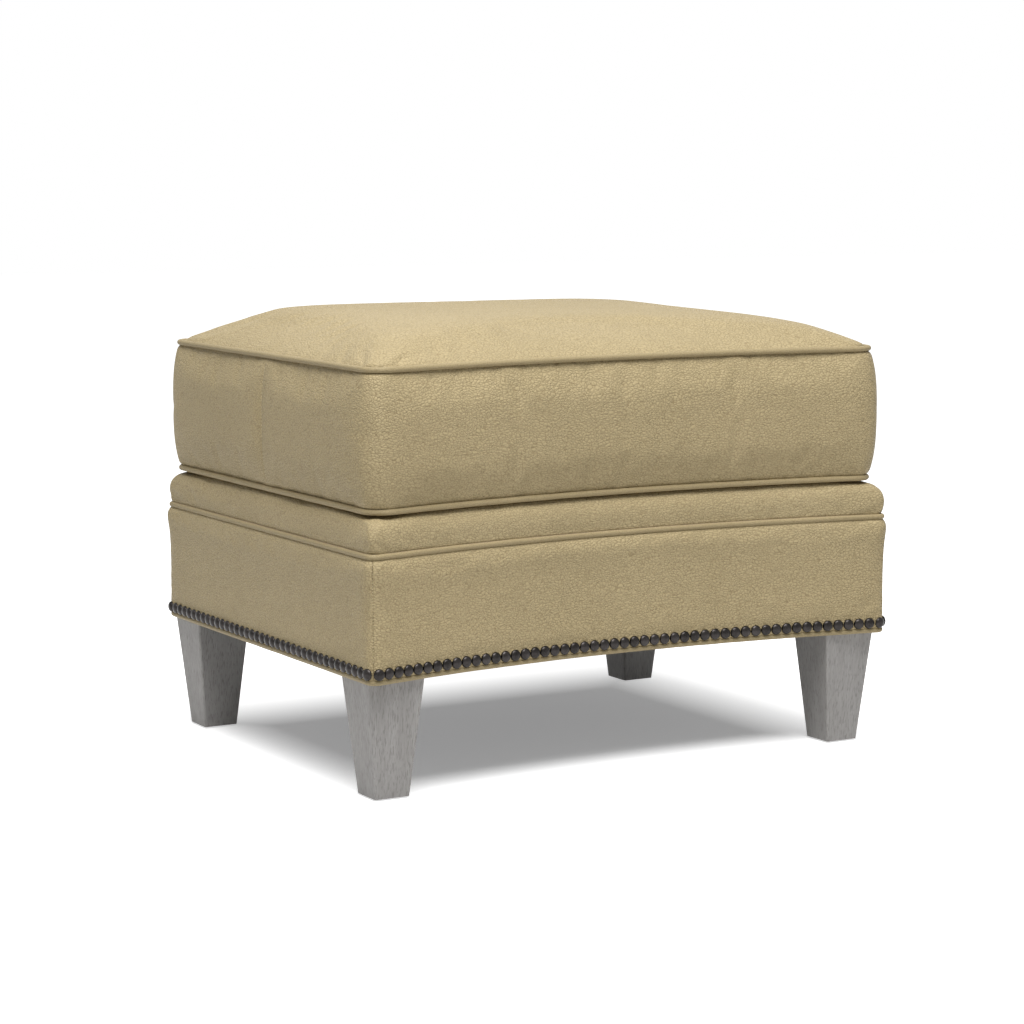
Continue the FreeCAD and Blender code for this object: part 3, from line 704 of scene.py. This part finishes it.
def speckled(name, noise_of, stops, roughness, relief, metallic=0.0):
    """A hard or waxed surface that one fine noise colours, dulls and roughens."""
    finish = Recipe(name)
    speck = finish.noise(*noise_of)
    finish.colour(finish.ramp(speck, stops))
    finish.rough(finish.spread(speck, 0.3, 0.7, *roughness))
    finish.bump(speck, relief)
    finish.set(Metallic=metallic)
    return finish.material


def felted(name, dark, light, size, relief):
    """Matted fibres or foam: soft noise with no thread."""
    felt = Recipe(name)
    tangle = felt.noise(size, 5.0, 0.7, None, 1.2)
    speck = felt.cells(size * 1.7)
    mixed = felt.sum((tangle, 0.8), (speck, 0.3))
    felt.colour(felt.ramp(mixed, [(0.25, dark), (0.8, light)]))
    felt.rough(felt.spread(tangle, 0.3, 0.7, 0.86, 0.97))
    felt.bump(mixed, relief)
    return felt.material


THREAD = speckled("waxed_thread", (1800.0, 2.0, 0.6), [(0.3, (0.47, 0.39, 0.23)), (0.7, (0.66, 0.57, 0.38))],
                  (0.55, 0.75), 0.0001)
ZINC = speckled("zinc_plated_steel", (220.0, 3.0, 0.6), [(0.3, (0.46, 0.46, 0.45)), (0.7, (0.66, 0.66, 0.64))],
                (0.30, 0.46), 0.00003, metallic=1.0)
NYLON = speckled("moulded_nylon", (900.0, 3.0, 0.6), [(0.3, (0.020, 0.020, 0.021)), (0.8, (0.045, 0.045, 0.047))],
                 (0.42, 0.58), 0.00006)
BRASS = speckled("antique_brass", (420.0, 4.0, 0.6), [(0.35, (0.13, 0.10, 0.06)), (0.65, (0.42, 0.33, 0.19))],
                 (0.30, 0.48), 0.00003, metallic=1.0)
JUTE = woven("jute_webbing_weave", (0.20, 0.14, 0.08), (0.55, 0.43, 0.27), 420.0, 0.0005)
BURLAP = woven("burlap_weave", (0.22, 0.16, 0.09), (0.58, 0.46, 0.29), 500.0, 0.0006)
DECK_CLOTH = woven("platform_cloth", (0.17, 0.145, 0.095), (0.33, 0.285, 0.19), 1100.0, 0.00025)
DUST_CLOTH = felted("dust_cloth", (0.010, 0.010, 0.011), (0.035, 0.035, 0.037), 900.0, 0.00015)
FOAM = felted("foam", (0.72, 0.66, 0.46), (0.88, 0.84, 0.68), 700.0, 0.0003)
BATTING = felted("batting", (0.70, 0.70, 0.68), (0.93, 0.93, 0.91), 260.0, 0.0008)
FIBRE_STRIP = felted("pressed_fibre", (0.22, 0.16, 0.10), (0.42, 0.33, 0.22), 1200.0, 0.0001)
ZIP_TAPE = woven("zip_tape", (0.13, 0.11, 0.07), (0.25, 0.21, 0.14), 1400.0, 0.0002, "XZ")

# %% Finishes of the CAD nodes that stay in view or inside
FINISH_OF_SLOT = {
    "hide": HIDE, "leg_wood": LEG_TIMBER, "glide_nylon": NYLON, "zinc_steel": ZINC,
    "frame_wood": sawn_timber("frame_timber", "X"), "jute_webbing": JUTE, "fibre_strip": FIBRE_STRIP,
    "burlap": BURLAP, "foam": FOAM, "batting": BATTING, "deck_cloth": DECK_CLOTH,
    "dust_cloth": DUST_CLOTH, "nail_metal": NAIL_METAL, "zip": ZIP_TAPE, "zip_metal": BRASS,
}
slot_of = {part["node"]: part["material_slot"] for part in frame["record"]["subparts"]}
for node_name, node in frame["nodes"].items():
    finish = FINISH_OF_SLOT[slot_of[node_name]]
    node.data.materials.clear()
    node.data.materials.append(finish)
print("finished CAD nodes:", len(frame["nodes"]))

# %% [markdown]
# ## The cushion
#
# A boxed cushion is four panels: a crowned top, a flat bottom and a boxing in two
# halves. Filled, the boxing swells between its seams and the top rises fast at the
# edge and then levels out. The body is built as one closed net whose rows follow
# the seams. A short cloth simulation then eases it, held at both seams. It may
# move no point further than a cap, so the drawn profile still gives the form.

# %% Shape of the filled cushion
BOXING_SWELL = 8.8 * MM
FACE_BELLY = 3.0 * MM
SWELL_AT_SEAM = 0.8 * MM
SWELL_POWER = 3.0
TUCK = 4.2 * MM
TUCK_WIDTH = 4.0 * MM
CROWN_RISE = 38.4 * MM
CROWN_REACH = 240.0 * MM
CROWN_POWER = 4.3
CROWN_START = 2.55 * MM
CORNER_OPENING = 0.3
BOX_HEIGHT = UPPER_SEAM - LOWER_SEAM


def boxing_swell(z):
    """Share of the full swelling at a height: 0 on a seam, 1 half way up."""
    share = (z - LOWER_SEAM) / BOX_HEIGHT
    return 1 - abs(2 * share - 1) ** SWELL_POWER


def boxing_reach(z):
    """How far the boxing stands out from its seams at a corner."""
    swell = boxing_swell(z)
    from_seam = min(z - LOWER_SEAM, UPPER_SEAM - z)
    tuck = TUCK * math.exp(-((from_seam / TUCK_WIDTH) ** 2))
    return SWELL_AT_SEAM + (BOXING_SWELL - SWELL_AT_SEAM) * swell - tuck


def inside_distance(points):
    """Distance of plan points inside the cushion's seams, with rounded corners."""
    points = np.asarray(points)
    side = WIDTH / 2 - CUSHION_INSET - np.abs(points[:, 0])
    front_centre = np.array([0.0, FRONT_Y + SAGITTA - FACE_RADIUS])
    back_centre = np.array([0.0, BACK_Y + SAGITTA - FACE_RADIUS])
    front = np.linalg.norm(points - front_centre, axis=1) - (FACE_RADIUS + CUSHION_INSET)
    back = FACE_RADIUS - CUSHION_INSET - np.linalg.norm(points - back_centre, axis=1)
    end = np.minimum(front, back)
    spread = 1 + CORNER_OPENING
    a = 2 * spread**2 - CORNER_OPENING**2
    b = 2 * spread * (2 * CUSHION_CORNER - side - end) - 2 * CORNER_OPENING * CUSHION_CORNER
    c = (CUSHION_CORNER - side) ** 2 + (CUSHION_CORNER - end) ** 2 - CUSHION_CORNER**2
    rounded = (-b + np.sqrt(np.maximum(b * b - 4 * a * c, 0))) / (2 * a)
    corner = CUSHION_CORNER + CORNER_OPENING * rounded
    in_corner = (side < rounded + corner) & (end < rounded + corner)
    return np.where(in_corner, rounded, np.minimum(side, end))


def crown_height(points):
    """Height of the top panel over plan points."""
    distance = np.maximum(inside_distance(points), 0)
    rise = 1 - np.maximum(1 - distance / CROWN_REACH, 0) ** CROWN_POWER
    uneven = 1 - 0.058 * points[:, 0] / 0.355 + 0.116 * (points[:, 1] - (FRONT_Y + 0.3)) / 0.3
    tuck = 2.6 * MM * np.exp(-(((distance - 2.4 * MM) / (2.6 * MM)) ** 2))
    return UPPER_SEAM + CROWN_START + CROWN_RISE * rise * uneven - tuck


# %% Net of the cushion
seam_steps = np.array([0.0, 2.2, 4.2, 7.0, 11.0, 17.0]) * MM
middle_rows = np.linspace(LOWER_SEAM + 23 * MM, UPPER_SEAM - 23 * MM, 20)
boxing_levels = np.concatenate([LOWER_SEAM + seam_steps, middle_rows, UPPER_SEAM - seam_steps[::-1]])
under_rows = [(9.0, 0.0), (5.0, 0.5), (2.8, 2.0)]

rings, levels_up = [], []
for inset, lift in under_rows:
    rings.append(cushion_ring(-inset * MM))
    levels_up.append(CUSHION_BOTTOM + lift * MM)
SIDE_SEAMS = [(TO_FRONT_RIGHT + TO_BACK_RIGHT) // 2, (TO_BACK_LEFT + STATIONS) // 2]
SEAM_GROOVE = 0.9 * MM
ZIP_LEVEL = (LOWER_SEAM + UPPER_SEAM) / 2
ZIP_HALF_LENGTH = 260.0 * MM
ZIP_RECESS = 2.6 * MM
SPARE_FOR_SWELL = 2.0 * MM
CUSHION_CAP = 4.0 * MM


def boxing_ring(z):
    """Ring of the boxing at a height, with its two side seams and its zip opening."""
    swell = boxing_swell(z)
    ring = cushion_ring(boxing_reach(z) - SPARE_FOR_SWELL * swell, FACE_BELLY * swell)
    outward = ring_outward(ring)
    for seam in SIDE_SEAMS:
        for neighbour in (seam - 1, seam + 1):
            ring[neighbour] = ring[seam] + 0.16 * (ring[neighbour] - ring[seam])
        ring[seam] -= outward[seam] * SEAM_GROOVE * min(1.0, 2 * swell)
    if abs(z - ZIP_LEVEL) < 8 * MM:
        at_back = (ring[:, 1] > MIDDLE_Y) & (np.abs(ring[:, 0]) < ZIP_HALF_LENGTH)
        ring[at_back] -= outward[at_back] * ZIP_RECESS
    return ring


for z in boxing_levels:
    rings.append(boxing_ring(z))
    levels_up.append(z)
lower_seam_row = len(under_rows)
upper_seam_row = len(rings) - 1
body_points = [stack(rings, levels_up)]
TOP_RINGS = (3.2, 5.0, 8.0, 12.0, 18.0, 25.0)
for inset in TOP_RINGS:
    ring = cushion_ring(-inset * MM)
    body_points.append(np.column_stack([ring, crown_height(ring)]))
ring_rows = len(rings) + len(TOP_RINGS)
body_points = np.vstack(body_points)
body_faces = wall_faces(ring_rows, STATIONS)
top_net = net_inside(body_points[-STATIONS:, :2])
bottom_net = net_inside(body_points[:STATIONS, :2])
top_start = len(body_points)
body_points = np.vstack([body_points, inner_points(top_net, crown_height)])
body_faces += net_faces((ring_rows - 1) * STATIONS, top_start)
bottom_start = len(body_points)
body_points = np.vstack([body_points, inner_points(bottom_net, lambda p: np.full(len(p), CUSHION_BOTTOM))])
body_faces += net_faces(0, bottom_start, upward=False)
print("cushion net:", len(body_points), "points", len(body_faces), "faces")

cushion = add_piece("cushion_body", body_points, body_faces, HIDE, "cushion")
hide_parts("cushion_top_panel", "cushion_bottom_panel", "cushion_front_band",
            "cushion_back_band", "cushion_foam", "cushion_wrap")

# %% Settle the cushion
held = [seam_row * STATIONS + i for seam_row in (lower_seam_row, upper_seam_row) for i in range(STATIONS)]
held += range(lower_seam_row * STATIONS)
held += range(bottom_start, len(body_points))
for row in range(lower_seam_row, upper_seam_row):
    held += [row * STATIONS + seam for seam in SIDE_SEAMS]
    if abs(boxing_levels[row - lower_seam_row] - ZIP_LEVEL) < 12 * MM:
        ring = body_points[row * STATIONS: (row + 1) * STATIONS]
        held += [row * STATIONS + i for i in range(STATIONS)
                 if ring[i, 1] > MIDDLE_Y and abs(ring[i, 0]) < ZIP_HALF_LENGTH + 8 * MM]
far = settle(cushion, held, CUSHION_CAP, spare=0.006)
middle_row = (lower_seam_row + upper_seam_row) // 2
far_boxing = far[middle_row * STATIONS: (middle_row + 1) * STATIONS].mean() * 1000
far_top = far[top_start: bottom_start].mean() * 1000
print("moved at half height of the boxing", round(float(far_boxing), 2), "mm, top", round(float(far_top), 2), "mm")
cushion_points = points_of(cushion)
subdivide(cushion)

# %% Stitches of the side seams and of the zip
BOXING_STITCH = 4.2 * MM
boxing_rows = range(lower_seam_row + 4, upper_seam_row - 3)
for side, seam in zip(("right", "left"), SIDE_SEAMS):
    line = cushion_points[[row * STATIONS + seam for row in boxing_rows]]
    line[:, 0] += math.copysign(0.35 * MM, line[0, 0])
    places, ways = along_line(line, BOXING_STITCH)
    stitch_row(f"{side}_boxing_stitches", places, ways, 2.3 * MM, 0.42 * MM, THREAD, "cushion")

# %% [markdown]
# ## Welts
#
# A welt is a cord wrapped in a strip of the same hide. It is a tube along the
# plan, with a slight unevenness where the hide is pulled round the cord.

# %% Welt tubes
WELT_SIDES = 16


def welt(name, ring, z, body, node, seed):
    outward = ring_outward(ring)
    middle = np.column_stack([ring, np.full(len(ring), z)])
    wobble = ripple(middle, 0.035, seed) * 0.16 * MM
    swell = 1 + 0.05 * ripple(middle, 0.012, seed + 1)
    points = []
    for side in range(WELT_SIDES):
        turn = 2 * math.pi * side / WELT_SIDES
        out = WELT_RADIUS * math.cos(turn) * swell
        up = WELT_RADIUS * math.sin(turn) * swell + wobble
        points.append(np.column_stack([ring + outward * out[:, None], z + up]))
    points = np.vstack(points)
    faces = []
    for side in range(WELT_SIDES):
        low, high = side * STATIONS, ((side + 1) % WELT_SIDES) * STATIONS
        for i in range(STATIONS):
            after = (i + 1) % STATIONS
            faces.append((low + i, low + after, high + after, high + i))
    piece = add_piece(name, points, faces, SHADED_WELT_HIDE, body)
    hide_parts(node)
    return piece


welt("upper_cushion_welt", cushion_ring(0.0), UPPER_SEAM, "cushion", "cushion_top_welt", 1)
welt("lower_cushion_welt", cushion_ring(0.0), LOWER_SEAM, "cushion", "cushion_bottom_welt", 2)
welt("upper_base_welt", base_ring(0.0), BASE_WELT, "base", "base_welt", 3)
welt("lower_base_welt", base_ring(0.0), BOTTOM_WELT, "base", "bottom_welt", 4)

# %% [markdown]
# ## The padded roll and the deck
#
# Above the upper base welt a padded roll carries the cushion. Its cover runs over
# the roll and in to a border of hide, and the middle of the deck is plain cloth.

# %% Roll
ROLL_FOOT = BASE_WELT + WELT_RADIUS
ROLL_HEIGHT = DECK_TOP - ROLL_FOOT
BORDER = 90.0 * MM
ROLL_CAP = 1.4 * MM
roll_face = [(0.0, 0.2), (0.10, 1.3), (0.22, 1.9), (0.40, 2.1), (0.56, 1.3), (0.70, -0.6),
             (0.82, -4.4), (0.93, -9.5), (1.0, -17.0)]
roll_line = smooth_line([(ROLL_FOOT + s * ROLL_HEIGHT, r * MM) for s, r in roll_face], 17)
roll_rows = [(BASE_WELT, -2.6 * MM), (BASE_WELT + 2.0 * MM, -2.2 * MM)]
roll_rows += [tuple(row) for row in roll_line]
roll_rows += [(DECK_TOP, -inset * MM) for inset in (24.0, 32.0, 40.0, 50.0, 60.0, 70.0, 80.0, 88.0)]
roll_rows += [(DECK_TOP - 1.2 * MM, -BORDER)]
roll_points = rows_round(roll_ring, roll_rows)
roll = add_piece("padded_roll", roll_points, wall_faces(len(roll_rows), STATIONS), HIDE, "base")
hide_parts("roll_cover", "roll_filling")
last_row = len(roll_rows) - 1
held = [i for i in range(len(roll_points)) if i // STATIONS < 3 or i // STATIONS >= last_row - 5]
settle(roll, held, ROLL_CAP, spare=0.006, pressure=2.0)
settled_roll = points_of(roll)
settled_roll[:, 2] = np.minimum(settled_roll[:, 2], DECK_TOP)
put_points(roll, settled_roll)
subdivide(roll)

# %% Deck cloth
deck_rim = roll_ring(-BORDER)
deck_net = net_inside(deck_rim)
deck_points = np.vstack([
    np.column_stack([deck_rim, np.full(STATIONS, DECK_TOP - 1.2 * MM)]),
    inner_points(deck_net, lambda p: np.full(len(p), DECK_TOP - 0.8 * MM))])
deck = add_piece("deck_panel", deck_points, net_faces(0, STATIONS), DECK_CLOTH, "base")
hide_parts("deck_cover", "deck_pad", "deck_burlap")
border_line = stack([roll_ring(3.0 * MM - BORDER)], [DECK_TOP + 0.1 * MM])
places, ways = along_line(np.vstack([border_line, border_line[:1]]), 5.0 * MM)
stitch_row("deck_border_stitches", places, ways, 3.2 * MM, 0.4 * MM, THREAD, "base")

# %% [markdown]
# ## The padded band
#
# Four padded panels wrap the timber box, seamed on the corners. They are straight
# below, where the nails hold them, and roll outwards under the upper welt.

# %% Band
BAND_FOOT = BOTTOM_WELT + WELT_RADIUS
BAND_HEAD = BASE_WELT - WELT_RADIUS
BAND_HEIGHT = BAND_HEAD - BAND_FOOT
band_face = [(0.0, 3.1), (0.12, 3.2), (0.40, 2.9), (0.57, 3.2), (0.72, 3.9), (0.80, 4.7), (0.87, 5.6), (0.93, 6.1),
             (0.97, 5.0), (1.0, 1.8)]
band_line = smooth_line([(BAND_FOOT + s * BAND_HEIGHT, r * MM) for s, r in band_face], 30)
band_rows = [(BOTTOM_WELT, -2.2 * MM), (BOTTOM_WELT + 2.0 * MM, 1.4 * MM)]
band_rows += [tuple(row) for row in band_line]
band_rows += [(BASE_WELT - 1.6 * MM, -0.6 * MM), (BASE_WELT, -2.4 * MM)]
band_points = rows_round(base_ring, band_rows)
PANELS = {
    "front": (CORNER_STATIONS[0], CORNER_STATIONS[1]),
    "right": (CORNER_STATIONS[1], CORNER_STATIONS[2]),
    "back": (CORNER_STATIONS[2], CORNER_STATIONS[3]),
    "left": (CORNER_STATIONS[3], STATIONS),
}


def panel(points, rows, first, last):
    """Points and faces of the columns first to last of a stack of rings."""
    columns = [i % STATIONS for i in range(first, last + 1)]
    picked = np.vstack([points[row * STATIONS: (row + 1) * STATIONS][columns] for row in range(rows)])
    count = len(columns)
    return picked, strip_faces(rows, count)


CORNER_GROOVE = 1.5 * MM


def draw_into_seams(points, rows, count):
    """Turns a panel's two upright edges in, into the corner seams."""
    grid = points.reshape(rows, count, 3)
    for edge, step in ((0, 1), (count - 1, -1)):
        inward = grid[:, edge, :2] - np.array([0.0, MIDDLE_Y])
        inward /= np.linalg.norm(inward, axis=1)[:, None]
        grid[:, edge + step] = grid[:, edge] + 0.28 * (grid[:, edge + step] - grid[:, edge])
        grid[:, edge, :2] -= inward * CORNER_GROOVE
    return grid.reshape(-1, 3)


PANEL_CAP = 1.2 * MM
NAILED_HEIGHT = 15.0 * MM
for side, (first, last) in PANELS.items():
    points, faces = panel(band_points, len(band_rows), first, last)
    count = last - first + 1
    points = draw_into_seams(points, len(band_rows), count)
    piece = add_piece(f"{side}_band_panel", points, faces, HIDE, "base")
    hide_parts(f"band_{side}")
    if side == "front":
        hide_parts("band_padding")
    held = [i for i, point in enumerate(points) if point[2] < BAND_FOOT + NAILED_HEIGHT
            or point[2] > BAND_HEAD - 2 * MM or i % count in (0, 1, count - 2, count - 1)]
    settle(piece, held, PANEL_CAP, spare=0.004, pressure=2.0)
    subdivide(piece)

# %% Stitches of the corner seams
CORNER_STITCH = 3.4 * MM
places, ways = [], []
for corner in CORNER_STATIONS:
    column = np.array([band_points[row * STATIONS + corner] for row in range(3, len(band_rows) - 3)])
    away = column[0, :2] - np.array([0.0, MIDDLE_Y])
    column[:, :2] -= away / np.linalg.norm(away) * (0.75 * MM)
    found, directions = along_line(column, CORNER_STITCH)
    places += list(found[4:])
    ways += list(directions[4:])
stitch_row("corner_stitches", places, ways, 1.5 * MM, 0.36 * MM, THREAD, "base")

# %% [markdown]
# ## Nails
#
# The nails are domes, drawn 13.4 mm across and set by hand about 14 mm apart, with
# half a space left at each corner seam. Each head is turned from one half section,
# and leans and wanders a little, as hammered nails do.

# %% Nail heads
NAIL_RADIUS = 6.7 * MM
NAIL_RISE = 4.2 * MM
NAIL_PITCH = 14.0 * MM
NAIL_LEVEL = BAND_FOOT + 5.9 * MM
NAIL_REACH = 3.3 * MM


def nail_seats():
    """Foot and facing of every head: evenly spaced from corner seam to corner seam."""
    ring = base_ring(NAIL_REACH)
    seats = []
    for first, last in PANELS.values():
        line = ring[[i % STATIONS for i in range(first, last + 1)]]
        steps = np.linalg.norm(np.diff(line, axis=0), axis=1)
        walked = np.concatenate([[0], np.cumsum(steps)])
        count = round(walked[-1] / NAIL_PITCH)
        for number in range(count):
            at = (number + 0.5) * walked[-1] / count
            spot = [np.interp(at, walked, line[:, k]) for k in (0, 1)]
            which = min(int(np.searchsorted(walked, at)), len(steps)) - 1
            along = line[which + 1] - line[which]
            seats.append((np.array([*spot, NAIL_LEVEL]), np.array([along[1], -along[0], 0.0])))
    return seats


def nail_profile():
    """Half section of a domed head, from its hollow edge to the crown."""
    line = [(NAIL_RADIUS - 0.6 * MM, -0.2 * MM), (NAIL_RADIUS - 0.05 * MM, 0.0), (NAIL_RADIUS, 0.25 * MM)]
    for lift in (0.20, 0.38, 0.56, 0.72, 0.86, 0.96):
        reach = math.sqrt(1 - lift**2)
        line.append((NAIL_RADIUS * reach, 0.25 * MM + (NAIL_RISE - 0.25 * MM) * lift))
    return line


seats = nail_seats()
NAIL_SIDES = 20
profile = nail_profile()
nail_points, nail_faces = [], []
for number, (foot, away) in enumerate(seats):
    wander = ripple([(number * 0.37, 0.2, 0.1), (number * 0.37, 5.2, 0.1), (number * 0.37, 9.2, 0.1)], 1.0, 9)
    away = Vector(away).normalized() + Vector((0, 0, 0.07 * wander[0]))
    away.normalize()
    foot = foot + np.array([0.0, 0.0, 0.25 * MM * wander[1]])
    along = Vector((0, 0, 1)).cross(away).normalized()
    upward = away.cross(along)
    base = len(nail_points)
    for reach, rise in profile:
        for step in range(NAIL_SIDES):
            turn = 2 * math.pi * step / NAIL_SIDES
            spot = Vector(foot) + away * rise
            spot += along * (reach * math.cos(turn)) + upward * (reach * math.sin(turn))
            nail_points.append(tuple(spot))
    nail_points.append(tuple(Vector(foot) + away * NAIL_RISE))
    nail_faces += wall_faces(len(profile), NAIL_SIDES, base)
    last_ring = base + (len(profile) - 1) * NAIL_SIDES
    crown = len(nail_points) - 1
    nail_faces += [(last_ring + i, last_ring + (i + 1) % NAIL_SIDES, crown) for i in range(NAIL_SIDES)]
nails = add_piece("domed_nails", nail_points, nail_faces, NAIL_METAL, "base")
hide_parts("nail_trim")
print("nails:", len(seats))

# %% [markdown]
# ## The underside
#
# Turned over, the stool would show a black non-woven cloth, stapled over the
# flange of the bottom welt. The cloth is stretched, but sags a few millimetres
# between its staples and the legs. It is a thin sheet.

# %% Dust cloth, flange and staples
CLOTH_INSET = 6.0 * MM
flange_rows = [(LEG_TOP + 1.2 * MM, -0.5 * MM), (LEG_TOP + 0.2 * MM, -2.5 * MM),
               (LEG_TOP, -9.0 * MM), (LEG_TOP, -18.0 * MM)]
flange_points = rows_round(base_ring, flange_rows)
flange_faces = [face[::-1] for face in wall_faces(len(flange_rows), STATIONS)]
flange = add_piece("bottom_flange", flange_points, flange_faces, SHADED_WELT_HIDE, "base")

cloth_rim = base_ring(-CLOTH_INSET)
cloth_net = net_inside(cloth_rim)


def cloth_sag(points):
    """The cloth hangs lowest in the middle, and is drawn up at the legs."""
    across = np.clip(1 - (np.abs(points[:, 0]) / 0.345) ** 2, 0, 1)
    deep = np.clip(1 - (np.abs(points[:, 1] - MIDDLE_Y) / 0.275) ** 2, 0, 1)
    rows = np.column_stack([points, np.zeros(len(points))])
    return LEG_TOP - 0.3 * MM - 3.0 * MM * across * deep - 0.5 * MM * ripple(rows, 0.07, 21) * across


rim_points = np.column_stack([cloth_rim, np.full(STATIONS, LEG_TOP - 0.3 * MM)])
dust_points = np.vstack([rim_points, inner_points(cloth_net, cloth_sag)])
dust = add_piece("dust_cloth", dust_points, net_faces(0, STATIONS, upward=False), DUST_CLOTH, "base")
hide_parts("dust_cover")
staple_line = stack([base_ring(-12.0 * MM)], [LEG_TOP - 0.5 * MM])
places, ways = along_line(np.vstack([staple_line, staple_line[:1]]), 36.0 * MM)
clear = [i for i, place in enumerate(places) if min(
    max(abs(abs(place[0]) - 0.312), abs(place[1] - leg_y)) for leg_y in (-0.245, 0.219)) > 0.042]
stitch_row("staples", places[clear], ways[clear], 10.0 * MM, 0.45 * MM, ZINC, "base")

# %% [markdown]
# ## The zip
#
# The back boxing opens along a zip, so that the filling can be changed. The tape
# lies a little below the hide, and a coil of small teeth closes it.

# %% Zip tape and teeth
ZIP_TAPE_HALF = 8.5 * MM


def back_line(drop, reach):
    """Line along the back boxing at the zip, drop above its level and reach inside it."""
    ring = boxing_ring(ZIP_LEVEL)
    inside = (ring[:, 1] > MIDDLE_Y) & (np.abs(ring[:, 0]) < ZIP_HALF_LENGTH)
    moved = ring - ring_outward(ring) * reach
    return np.column_stack([moved[inside], np.full(int(inside.sum()), ZIP_LEVEL + drop)])


tape_rows = [back_line(drop, reach) for drop, reach in (
    (-ZIP_TAPE_HALF, 0.5 * MM), (-3.4 * MM, -0.5 * MM), (-2.6 * MM, -0.3 * MM),
    (2.6 * MM, -0.3 * MM), (3.4 * MM, -0.5 * MM), (ZIP_TAPE_HALF, 0.5 * MM))]
tape_count = len(tape_rows[0])
tape_faces = strip_faces(len(tape_rows), tape_count)
tape = add_piece("zip_tape", np.vstack(tape_rows), tape_faces, ZIP_TAPE, "cushion")
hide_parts("cushion_zip")
teeth_places, teeth_ways = along_line(back_line(0.0, -0.9 * MM), 2.0 * MM)
stitch_row("zip_teeth", teeth_places, [(0, 0, 1)] * len(teeth_places), 4.6 * MM, 0.75 * MM, BRASS, "cushion")

# %% [markdown]
# ## Floor, light and camera
#
# The stool stands on a white floor that fades into a white background. The floor
# glows white to the camera, except in a soft rectangle under the stool, so it is
# that rectangle which gives the visible shadow its outline.

# %% Floor
FLOOR_GLOW = 0.26
SHADED_HALF = (0.25, 0.17)
WHITE_HALF = (0.41, 0.34)


def floor_finish():
    """White paint that shows pure white to the camera away from the stool."""
    paint = Recipe("white_floor")
    drift = paint.noise(3.0, 2.0, 0.5)
    paint.colour(paint.ramp(drift, [(0.3, (0.80, 0.80, 0.80)), (0.7, (0.82, 0.82, 0.82))]))
    paint.set(Roughness=0.9)
    paint.shader.inputs["Specular IOR Level"].default_value = 0.0
    path = paint.add("ShaderNodeLightPath")
    seen = paint.add("ShaderNodeMath", operation="MAXIMUM")
    paint.feed(seen, 0, path.outputs["Is Camera Ray"])
    paint.feed(seen, 1, path.outputs["Is Glossy Ray"])
    apart = paint.add("ShaderNodeSeparateXYZ")
    paint.feed(apart, "Vector", paint.where)
    fades = paint.add("ShaderNodeMath", operation="MAXIMUM")
    for number, axis in enumerate("XY"):
        size = paint.add("ShaderNodeMath", operation="ABSOLUTE")
        paint.feed(size, 0, apart.outputs[axis])
        edge = paint.spread(size.outputs["Value"], SHADED_HALF[number], WHITE_HALF[number], FLOOR_GLOW, 1.0)
        paint.feed(fades, number, edge)
    fade = fades.outputs["Value"]
    glow = paint.add("ShaderNodeEmission")
    glow.inputs["Color"].default_value = (1, 1, 1, 1)
    paint.feed(glow, "Strength", paint.product(seen.outputs["Value"], fade))
    both = paint.add("ShaderNodeAddShader")
    paint.feed(both, 0, paint.shader.outputs["BSDF"])
    paint.feed(both, 1, glow.outputs["Emission"])
    paint.feed(paint.tree.nodes["Material Output"], "Surface", both.outputs["Shader"])
    return paint.material


FLOOR_REACH = 12.0
floor_mesh = bpy.data.meshes.new("floor")
floor_mesh.from_pydata([(-FLOOR_REACH, -FLOOR_REACH, 0), (FLOOR_REACH, -FLOOR_REACH, 0),
                        (FLOOR_REACH, FLOOR_REACH, 0), (-FLOOR_REACH, FLOOR_REACH, 0)], [], [(0, 1, 2, 3)])
floor_mesh.materials.append(floor_finish())
floor = bpy.data.objects.new("floor", floor_mesh)
bpy.context.scene.collection.objects.link(floor)

# %% World and lamps
SKY_LIGHT = 0.195
world = bpy.data.worlds.new("white_studio")
bpy.context.scene.world = world
world.use_nodes = True
sky = world.node_tree.nodes["Background"]
path = world.node_tree.nodes.new("ShaderNodeLightPath")
seen = world.node_tree.nodes.new("ShaderNodeMath")
seen.operation = "MAXIMUM"
world.node_tree.links.new(path.outputs["Is Camera Ray"], seen.inputs[0])
world.node_tree.links.new(path.outputs["Is Glossy Ray"], seen.inputs[1])
strength = world.node_tree.nodes.new("ShaderNodeMapRange")
world.node_tree.links.new(seen.outputs["Value"], strength.inputs["Value"])
strength.inputs["To Min"].default_value = SKY_LIGHT
strength.inputs["To Max"].default_value = 1.0
world.node_tree.links.new(strength.outputs["Result"], sky.inputs["Strength"])
sky.inputs["Color"].default_value = (1, 1, 1, 1)


def softbox(name, place, aim, width, height, watts):
    light = bpy.data.lights.new(name, "AREA")
    light.shape = "RECTANGLE"
    light.size = width
    light.size_y = height
    light.energy = watts
    lamp = bpy.data.objects.new(name, light)
    bpy.context.scene.collection.objects.link(lamp)
    lamp.location = place
    lamp.rotation_euler = (Vector(aim) - Vector(place)).to_track_quat("-Z", "Y").to_euler()
    return lamp


softbox("key_softbox", (-0.62, -1.14, 3.0), (0.0, 0.0, 0.3), 2.0, 1.8, 131.0)

# %% Camera
CAMERA_PLACE = Vector((-1.7632, -3.0337, 0.7305))
TURN = math.radians(30.13)
DIP = math.radians(7.392)
camera_data = bpy.data.cameras.new("camera")
camera_data.lens = 100.0
camera_data.sensor_width = 36.0
camera_data.clip_end = 100.0
camera = bpy.data.objects.new("camera", camera_data)
bpy.context.scene.collection.objects.link(camera)
camera.location = CAMERA_PLACE
camera.rotation_euler = (math.pi / 2 - DIP, 0.0, -TURN)
bpy.context.scene.camera = camera
bpy.context.scene.view_settings.view_transform = "Standard"

# %% Close
bpy.context.view_layer.update()
